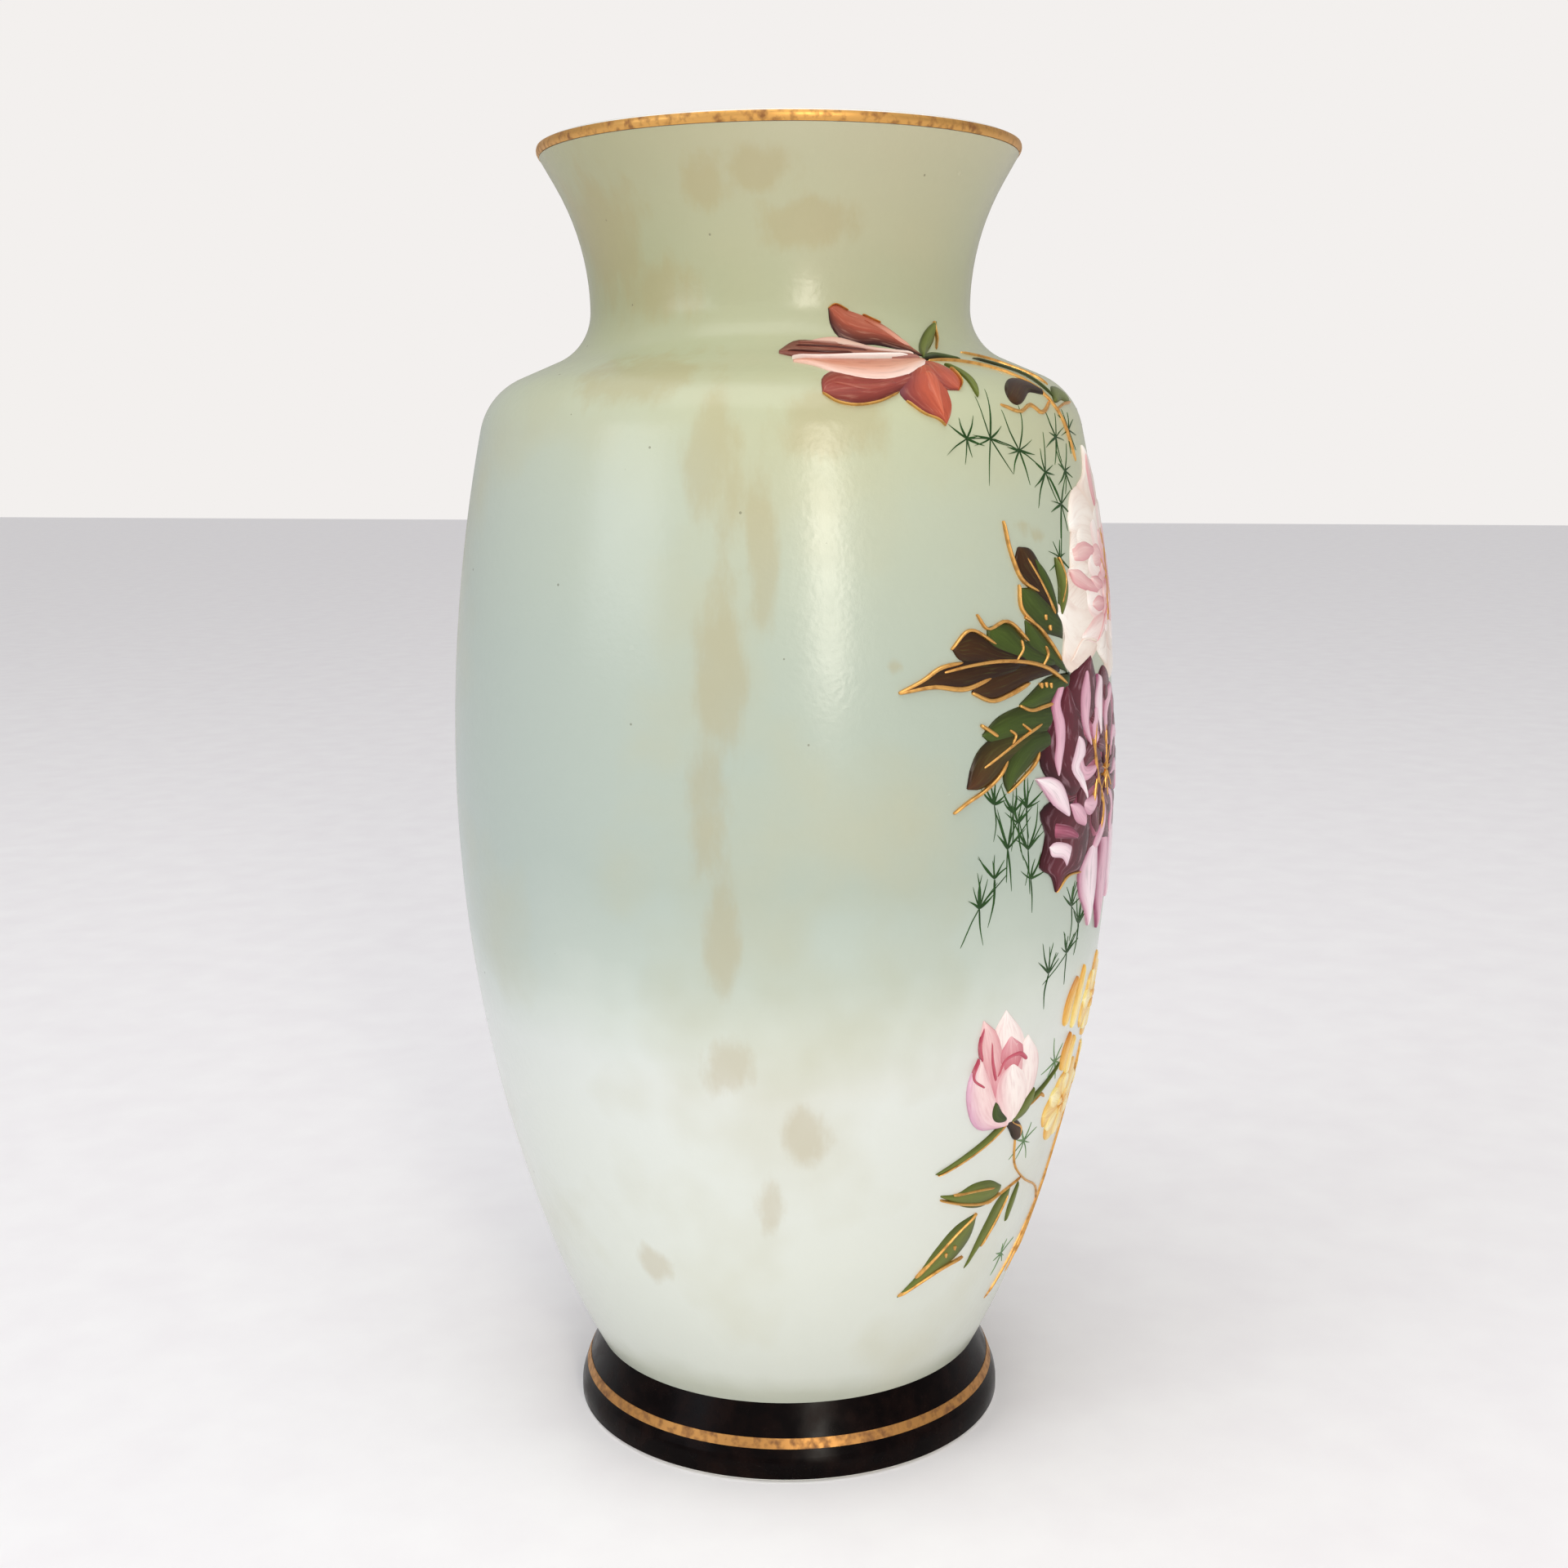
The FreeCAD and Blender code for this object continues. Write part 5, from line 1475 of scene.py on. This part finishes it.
    def right(self) -> list[Dab]:
        """Leaves on the right of the spray."""
        return [
            Dab(((27, 214), (35, 218), (43, 216)), 5.6, self.olive, shape=Shape.LEAF),
            Dab(((27, 198), (37, 200), (47, 194)), 6.4, self.brown, shape=Shape.LEAF),
            Dab(((30, 200), (38, 207), (46, 208)), 4.6, self.olive, shape=Shape.ROUND, lift=0.1),
            Dab(((22, 178), (32, 174), (42, 164)), 6.4, self.olive, shape=Shape.LEAF),
            Dab(((24, 184), (34, 184), (43, 179)), 4.6, self.brown, shape=Shape.LEAF, lift=0.1),
            Dab(((22, 236), (25, 244), (30, 254)), 4.0, self.fresh, shape=Shape.LEAF),
            Dab(((37, 229), (41, 231), (44, 235)), 2.2, self.fresh, shape=Shape.LEAF, lift=0.4),
            Dab(((14, 78), (23, 84), (32, 92)), 4.2, self.fresh, shape=Shape.LEAF),
            Dab(((16, 62), (28, 68), (39, 72)), 4.4, self.fresh.mirrored(), shape=Shape.LEAF),
            Dab(((10, 56), (17, 62), (25, 68)), 3.2, self.olive, shape=Shape.LEAF),
        ]

    def build(self) -> None:
        """Lay every leaf."""
        finish = BrushedEnamel("olive_leaf_enamel", "#120b05", "#66743a", streak=0.2, bristle_mm=0.5,
                               roughness=0.3).build()
        dabs = [*self.upper_left(), *self.low_left(), *self.shoulder(), *self.right()]
        self.painter.paint("leaves_painted", dabs, Brush.BROAD, finish, "olive_enamel", "leaves")


@dataclass
class GoldWork:
    """Raised gold: the veins and edges of the leaves, the stems and the flowers' stamens."""

    painter: Painter
    # How much shorter every second and third stamen is, and how far they spread across and up.
    uneven: float = 0.25
    spread_across: float = 0.7
    spread_up: float = 1.2

    def leaf_lines(self) -> list[Dab]:
        """Gold edges and veins of the leaves on the left."""
        return [
            gold_line((-31.5, 239), (-30.3, 231), (-28, 225), (-24.5, 222.5)),
            gold_line((-27, 230.5), (-23.6, 224), (-20.5, 217)),
            gold_line((-29.2, 224.5), (-29, 219), (-26, 215)),
            gold_line((-18, 230), (-16.6, 225), (-18.5, 219), width=0.35),
            gold_line((-52.5, 202), (-46.5, 203), (-41.5, 202), (-36.3, 204), width=0.6),
            gold_line((-52.5, 202), (-48.5, 204.5), (-45.5, 207), (-41.5, 208), width=0.5),
            gold_line((-45, 206), (-41, 207), (-33, 207.5), (-24, 205), (-18.3, 200.5), width=0.5,
                      lift=0.65),
            gold_line((-43.5, 211), (-40, 215), (-35, 211.5)),
            gold_line((-38.5, 218.5), (-36.4, 215), (-33, 216.5), (-27.8, 211.5)),
            gold_line((-28.4, 217), (-25.3, 214.5), (-22.6, 211), (-19.5, 206)),
            gold_line((-40, 201), (-36, 198.8), (-32.6, 199.8), (-28, 202), width=0.55),
            gold_line((-30.5, 197), (-28, 195.6), (-25, 196), (-22, 196.5), width=0.5),
            gold_line((-31, 207.5), (-29.5, 210), (-29.8, 212), width=0.35, lift=0.6),
            gold_line((-25, 205.5), (-23.5, 208), (-24, 210), width=0.35, lift=0.6),
            gold_line((-43.6, 174), (-41.1, 176.2), (-37.9, 178.5), (-34.9, 181.6), (-33.3, 184.8),
                      width=0.45),
            gold_line((-38.2, 183.8), (-34.5, 186.6), (-30.9, 189.2), (-25.6, 192.2), lift=0.65),
            gold_line((-33.3, 177.3), (-30.1, 180.2), (-27, 183.6), (-26.2, 185.8)),
            gold_line((-38.5, 193.6), (-37, 192.2), (-35.3, 190.6), width=0.5, lift=0.5),
            gold_line((-30.3, 192.8), (-29.2, 191.8), (-28, 190.6), width=0.35, lift=0.6),
            gold_line((-32.5, 188.5), (-31.8, 190.5), (-33, 191.8), width=0.35, lift=0.6),
        ]

    def low_lines(self) -> list[Dab]:
        """Gold on the low leaves, the low bud's calyx and the right-hand leaves."""
        return [
            gold_line((-40, 77), (-33.5, 74), (-27, 72.5), (-23.5, 73.5), width=0.4),
            gold_line((-37, 77.5), (-31, 77), (-26, 76), width=0.3),
            gold_line((-29.5, 70), (-34, 66), (-38, 61), (-42.5, 55.5), width=0.4),
            gold_line((-30.5, 58), (-36, 56.5), (-41, 54), (-46, 51), width=0.4),
            gold_line((-20.5, 72), (-22.5, 66), (-25.5, 59), width=0.35),
            gold_line((-41.5, 84.2), (-36, 86.8), (-31, 89.8), (-26.5, 93.4), width=0.3),
            gold_line((-24.5, 95), (-20, 96.8), (-16.5, 98), (-15.5, 96.6), width=0.3),
            gold_line((-27, 96.5), (-25, 93.5), (-22, 91), (-22, 88), width=0.4),
            gold_line((28, 213.5), (35, 217), (42, 216)),
            gold_line((28, 198), (37, 199.5), (46, 194.5), width=0.5),
            gold_line((28, 193.5), (37, 193), (47, 193.5)),
            gold_line((31, 200), (38, 206), (45, 208)),
            gold_line((23, 178), (32, 173.5), (41, 165), width=0.5),
            gold_line((25, 173), (33, 167), (42, 163.5)),
            gold_line((25, 184), (34, 183.5), (42, 179.5)),
            gold_line((22.5, 237), (25, 244), (29, 252)),
            gold_line((15, 78), (23, 83.5), (31, 91), width=0.4),
            gold_line((17, 62), (28, 67.5), (38, 71.5), width=0.4),
        ]

    def shoulder_lines(self) -> list[Dab]:
        """Gold on the rust rosebud and its branch."""
        return [
            gold_line((-56.8, 287.4), (-55.3, 288.3), (-51.1, 286.9), width=0.2),
            gold_line((-47, 286), (-45.6, 285.4), (-42, 284), width=0.16),
            gold_line((-62.9, 267.4), (-60.5, 265.5), (-57.7, 264.8), (-53.8, 265.3), (-49.1, 267.4),
                      width=0.2),
            gold_line((-48.2, 265.6), (-45.1, 262.8), (-42.6, 261.6), (-41.4, 260.2), width=0.16),
            gold_line((-36.6, 268), (-35, 269.6), (-34.3, 273), width=0.16),
            gold_line((-36.5, 275), (-28, 275), (-20, 273.5), (-13, 269), (-9, 263), (-5, 252), width=0.4,
                      lift=0.2),
            gold_line((-28, 265), (-23, 263.5), (-19, 265), (-17, 263.5), (-11, 266), width=0.5, lift=0.1),
            gold_line((-10, 264), (-4, 265.5), (2, 266), width=0.35, lift=0.1),
            gold_line((-22, 285), (-24, 281), (-28, 278), width=0.28),
            gold_line((-20, 277.5), (-10, 275), (-5, 270), width=0.3, lift=0.1),
        ]

    def stems(self) -> list[Dab]:
        """The stems of the spray."""
        paths = (
            ((-23, 90), (-20.5, 80), (-15, 74), (-6, 68), (2, 60)),
            ((-27, 71.5), (-22, 73.5), (-16.5, 75)),
            ((8, 68), (-1.5, 56), (-8, 46), (-14, 38.5)),
            ((4, 104), (3, 84), (2, 60), (-4, 42)),
            ((16, 82), (12, 70), (6, 60), (3, 44)),
            ((37, 229), (31, 224), (24, 222)),
            ((25, 84), (14, 72), (6, 60)),
            ((17, 212), (22, 213), (28, 214.5)),
            ((18, 204), (23, 200), (29, 198)),
            ((13, 186), (19, 185), (26, 184)),
            ((12, 181), (17, 179), (24, 178)),
            ((15, 232), (19, 234), (23, 238)),
        )
        return [gold_line(*path, width=0.32, lift=0.05) for path in paths]

    def stamens(self) -> list[Dab]:
        """Stamens of the two peonies: fine lines that end in dots."""
        dabs = []
        for centre, count, reach in ((WhitePeony.centre, 11, 9.0), (PlumPeony.centre, 9, 8.5)):
            for number in range(count):
                angle = 2 * math.pi * number / count
                far = reach * (1 - self.uneven * (number % 3))
                tip = OUTLINE.shift(centre, far * math.sin(angle) * self.spread_across,
                                    far * math.cos(angle) * self.spread_up)
                dabs += [gold_line(centre, tip, width=0.28, lift=0.75), gold_dot(tip, 0.9)]
        swirl = ((-8, 190), (-9, 183), (-7, 175), (-4, 168), (-5, 162))
        tips = ((-20.7, 150.8), (-19.4, 152.4), (-18, 153.8), (-12.8, 153.9))
        return [*dabs, gold_line(*swirl, width=0.5, lift=0.7), gold_line(*tips, width=0.25),
                gold_line((-10, 186), (-8, 178), (-9, 170), width=0.45, lift=0.7)]

    def dots(self) -> list[Dab]:
        """Small groups of dots on the leaves."""
        places = ((-23.5, 216.5), (-22.5, 214), (-25.5, 201), (-24.3, 201), (-23.1, 200.7), (-34, 62),
                  (-36, 60.5),
                  (38, 203), (40, 202.5), (36, 170))
        return [gold_dot(point) for point in places]

    def build(self) -> None:
        """Lay all of the gold."""
        gilt = WornGilt("raised_gilt", bright="#e0ab60", dull="#a87434", roughness=0.3, wear=0.3).build()
        self.painter.paint("gilt_stems", self.stems(), Brush.LINE, gilt, "worn_gilt", "stems")
        leaves = [*self.leaf_lines(), *self.low_lines(), *self.dots()]
        self.painter.paint("gilt_leaf_lines", leaves, Brush.LINE, gilt, "worn_gilt")
        self.painter.paint("gilt_rosebud_lines", self.shoulder_lines(), Brush.LINE, gilt, "worn_gilt")
        self.painter.paint("gilt_stamens", self.stamens(), Brush.LINE, gilt, "worn_gilt")


@dataclass
class Ferns:
    """Feathery green sprays: stars of thin blades round short stalks."""

    painter: Painter
    seed: int = 11
    green: Wash = plain("#1b3a12", "#2c5620")
    pale: Wash = plain("#56784a", "#789a68")
    blades: int = 8
    # Degrees that a blade strays from its even place, and that a fan opens to each side.
    stray: float = 14.0
    fan_side: float = 75.0
    shortest: float = 3.0
    longest: float = 6.4
    # How much longer a blade is when it is upright, and when it hangs under a fan.
    upright_gain: float = 0.35
    hanging_size: float = 1.25
    # How far a blade bows, as a share of its length.
    bow: float = 0.1
    narrowest: float = 0.16
    widest: float = 0.34
    # Centre of each star, and its size over the usual one.
    upper: tuple[tuple[float, float, float], ...] = (
        (-37.3, 257.4, 0.95), (-32.1, 257.4, 1.35), (-25.3, 254.7, 1.3), (-18.5, 249.6, 1.2),
        (-11.1, 249.8, 1.0),
        (-14.5, 242.1, 1.1), (-12.6, 257.7, 0.95), (-17.2, 229.8, 0.85), (-5.9, 259.4, 0.9), (22, 256, 1.1),
        (29, 250, 1.2), (35, 248, 1.0), (18, 262, 1.0),
    )
    middle: tuple[tuple[float, float, float], ...] = (
        (-35.9, 175, 0.9), (-32, 172.4, 1.0), (-29, 173, 1.1), (-33, 164.1, 1.3), (-28.4, 163, 1.3),
        (-35.5, 157.5, 1.1), (-27.5, 155.8, 1.1), (-38.3, 151, 1.1), (-14.9, 145.8, 0.9),
        (-11.3, 140.2, 1.0),
        (-15, 134, 1.0), (-20.4, 130.5, 1.1), (-30.8, 169.7, 0.9),
        (28, 158, 1.1), (34, 152, 1.2), (24, 148, 1.1), (30, 142, 1.0), (19, 140, 1.0),
    )
    low: tuple[tuple[float, float, float], ...] = (
        (-13, 105, 1.0), (-19, 86, 0.9), (-14, 52, 0.9), (26, 108, 1.1), (31, 100, 1.0),
    )
    stalks: tuple[Path, ...] = (
        ((-37, 257.4), (-32, 257.4), (-25.3, 254.7), (-18.5, 249.6), (-14.5, 242.1)),
        ((-14.5, 242.1), (-16, 234), (-17.5, 226)), ((-32, 172.4), (-33, 164.1), (-33, 156)),
        ((-29, 173), (-28.4, 163), (-27.5, 152)), ((-33, 158), (-38.3, 151), (-41.6, 142)),
        ((-14.9, 145.8), (-11.3, 140.2), (-15, 134), (-22, 128)), ((18, 262), (25, 254), (35, 248)),
        ((34, 160), (29, 150), (20, 140)),
    )

    def star(self, centre: Point, size: float, wash: Wash, fan: bool,
             chance: np.random.Generator) -> list[Dab]:
        """Lay one star of blades.

        Args:
            centre: Turn and height of its centre.
            size: Size over the usual one.
            wash: Colour of the blades.
            fan: Whether most of the blades fan upwards, with one long blade that hangs.
            chance: Seeded random draws for the blades' angles and lengths.

        Returns:
            The blades.
        """
        blades = []
        half_turn = self.fan_side if fan else 180.0
        for number in range(self.blades):
            hangs = fan and number == 0
            spread = half_turn * (2 * (number + 0.5) / self.blades - 1)
            angle = math.radians((180 if hangs else spread) + chance.uniform(-self.stray, self.stray))
            long = size * chance.uniform(self.shortest, self.longest)
            long *= 1 + self.upright_gain * abs(math.cos(angle))
            long *= self.hanging_size if hangs else 1.0
            bow = chance.uniform(-self.bow, self.bow) * long
            middle = OUTLINE.shift(centre, long / 2 * math.sin(angle) + bow, long / 2 * math.cos(angle))
            tip = OUTLINE.shift(centre, long * math.sin(angle), long * math.cos(angle))
            width = chance.uniform(self.narrowest, self.widest)
            blades.append(Dab((centre, middle, tip), width, wash, shape=Shape.BLADE, rise=0.1))
        return blades

    def build(self) -> None:
        """Lay the stalks and every star."""
        chance = np.random.default_rng(self.seed)
        dabs = [Dab(path, self.narrowest, self.green, shape=Shape.CORD, rise=0.08) for path in self.stalks]
        for stars, wash, fan in ((self.upper, self.green, False), (self.middle, self.green, True),
                                 (self.low, self.pale, False)):
            for turn, height, size in stars:
                dabs += self.star((turn, height), size, wash, fan, chance)
        finish = BrushedEnamel("fern_green_enamel", "#1a3412", "#5c8a48", streak=0.25).build()
        self.painter.paint("ferns", dabs, Brush.FINE, finish, "olive_enamel")


# ---------------------------------------------------------------- floor, lights and camera


@dataclass
class Studio:
    """A pale floor under soft light, with two tall soft lights that draw streaks down the glaze."""

    camera_place: tuple[float, float, float] = (-0.4807, -0.1749, 0.256)
    camera_turn: float = -70.0
    camera_pitch: float = 9.76
    camera_roll: float = -0.48
    lens: float = 45.0
    floor_size: float = 12.0
    world_strength: float = 0.5
    sky_strength: float = 0.73
    # Degrees that the sky's light is spread over and tipped by.
    sky_spread: float = 120.0
    sky_tip: float = 20.0
    # Height that the lights face.
    aim_height: float = 0.2

    def build_floor(self) -> None:
        """Make the floor: a wide flat sheet."""
        clear_selection()
        bpy.ops.mesh.primitive_grid_add(x_subdivisions=8, y_subdivisions=8, size=self.floor_size)
        floor = bpy.context.active_object
        floor.name = "studio_floor"
        material, tree = new_material("painted_white_board")
        place = add_node(tree, "TexCoord").outputs["Object"]
        grain = add_node(tree, "TexNoise", {"Vector": place, "Scale": 40.0, "Detail": 4.0})
        tint = add_node(tree, "ValToRGB", {"Fac": grain.outputs["Fac"]},
                        stops=((0.3, "#f4f2f4"), (0.7, "#f8f7f8")))
        shader = add_node(tree, "BsdfPrincipled", {"Base Color": tint.outputs["Color"], "Roughness": 0.7})
        add_node(tree, "OutputMaterial", {"Surface": shader.outputs["BSDF"]})
        dress(floor, material)

    def build_world(self) -> None:
        """Light everything softly from a pale surround."""
        world = bpy.data.worlds.new("pale_surround")
        bpy.context.scene.world = world
        world.use_nodes = True
        tree = world.node_tree
        tree.nodes.clear()
        shade = add_node(tree, "Background", {"Color": linear("#f6f4f5"), "Strength": self.world_strength})
        # The backdrop that the camera sees is paler than the surround that lights the glaze.
        seen = add_node(tree, "LightPath").outputs["Is Camera Ray"]
        backdrop = add_node(tree, "Background", {"Color": linear("#f3f0ee")})
        mixed = add_node(tree, "MixShader",
                         {"Fac": seen, 1: shade.outputs["Background"], 2: backdrop.outputs["Background"]})
        add_node(tree, "OutputWorld", {"Surface": mixed.outputs["Shader"]})

    def add_light(self, name: str, turn: float, rise: float, distance: float, wide: float, tall: float,
                  watts: float, colour: str) -> None:
        """Stand one soft light that faces the middle of the vase.

        Args:
            name: The light's name.
            turn: Degrees about the axis, from the front towards +X.
            rise: Degrees above the middle of the vase.
            distance: Metres from the axis.
            wide: Width in metres.
            tall: Height in metres.
            watts: Power.
            colour: sRGB hex colour.
        """
        lamp = bpy.data.lights.new(name, "AREA")
        lamp.shape = "RECTANGLE"
        lamp.size = wide
        lamp.size_y = tall
        lamp.energy = watts
        lamp.color = linear(colour)[:3]
        stand = bpy.data.objects.new(name, lamp)
        bpy.context.scene.collection.objects.link(stand)
        angle, lift = math.radians(turn), math.radians(rise)
        reach = distance * math.cos(lift)
        stand.location = (reach * math.sin(angle), -reach * math.cos(angle),
                          self.aim_height + distance * math.sin(lift))
        stand.rotation_euler = (math.radians(90 - rise), 0, angle)

    def add_sky(self) -> None:
        """Add very soft light from above, so that the floor stays pale far from the vase."""
        sky = bpy.data.lights.new("sky", "SUN")
        sky.energy = self.sky_strength
        sky.angle = math.radians(self.sky_spread)
        stand = bpy.data.objects.new("sky", sky)
        bpy.context.scene.collection.objects.link(stand)
        stand.rotation_euler = (math.radians(self.sky_tip), 0, math.radians(self.camera_turn))

    def build_camera(self) -> None:
        """Stand the camera to the left of the painted front."""
        camera = bpy.data.objects.new("camera", bpy.data.cameras.new("camera"))
        camera.data.lens = self.lens
        bpy.context.scene.collection.objects.link(camera)
        spin = Matrix.Rotation(math.radians(self.camera_turn), 4, "Z")
        tip = Matrix.Rotation(math.radians(90 - self.camera_pitch), 4, "X")
        roll = Matrix.Rotation(math.radians(self.camera_roll), 4, "Z")
        camera.matrix_world = Matrix.Translation(self.camera_place) @ spin @ tip @ roll
        bpy.context.scene.camera = camera

    def build(self) -> None:
        """Set the whole studio up."""
        self.build_floor()
        self.build_world()
        self.add_light("left_window", turn=-125, rise=15, distance=1.7, wide=0.8, tall=0.6, watts=4.4,
                       colour="#eef4ff")
        self.add_light("front_window", turn=-55, rise=13, distance=1.7, wide=0.26, tall=0.72, watts=8.6,
                       colour="#fff6e8")
        self.add_light("overhead", turn=-90, rise=70, distance=1.6, wide=1.4, tall=1.0, watts=8,
                       colour="#ffffff")
        self.add_sky()
        self.build_camera()
        bpy.context.scene.view_settings.view_transform = "Standard"


def main() -> None:
    """Build the vase, paint it and set up the studio."""
    logging.basicConfig(level=logging.INFO, format="%(name)s: %(message)s")
    for left_over in [o for o in bpy.data.objects if o.name in ("Cube", "Light", "Camera")]:
        bpy.data.objects.remove(left_over)
    VaseBody().build()
    Foot().build()
    painter = Painter()
    for part in (Leaves, Ferns, YellowBlossoms, PinkRosebuds, RustRosebud, WhitePeony, PlumPeony, GoldWork):
        part(painter).build()
    Studio().build()


if __name__ == "__main__":
    main()
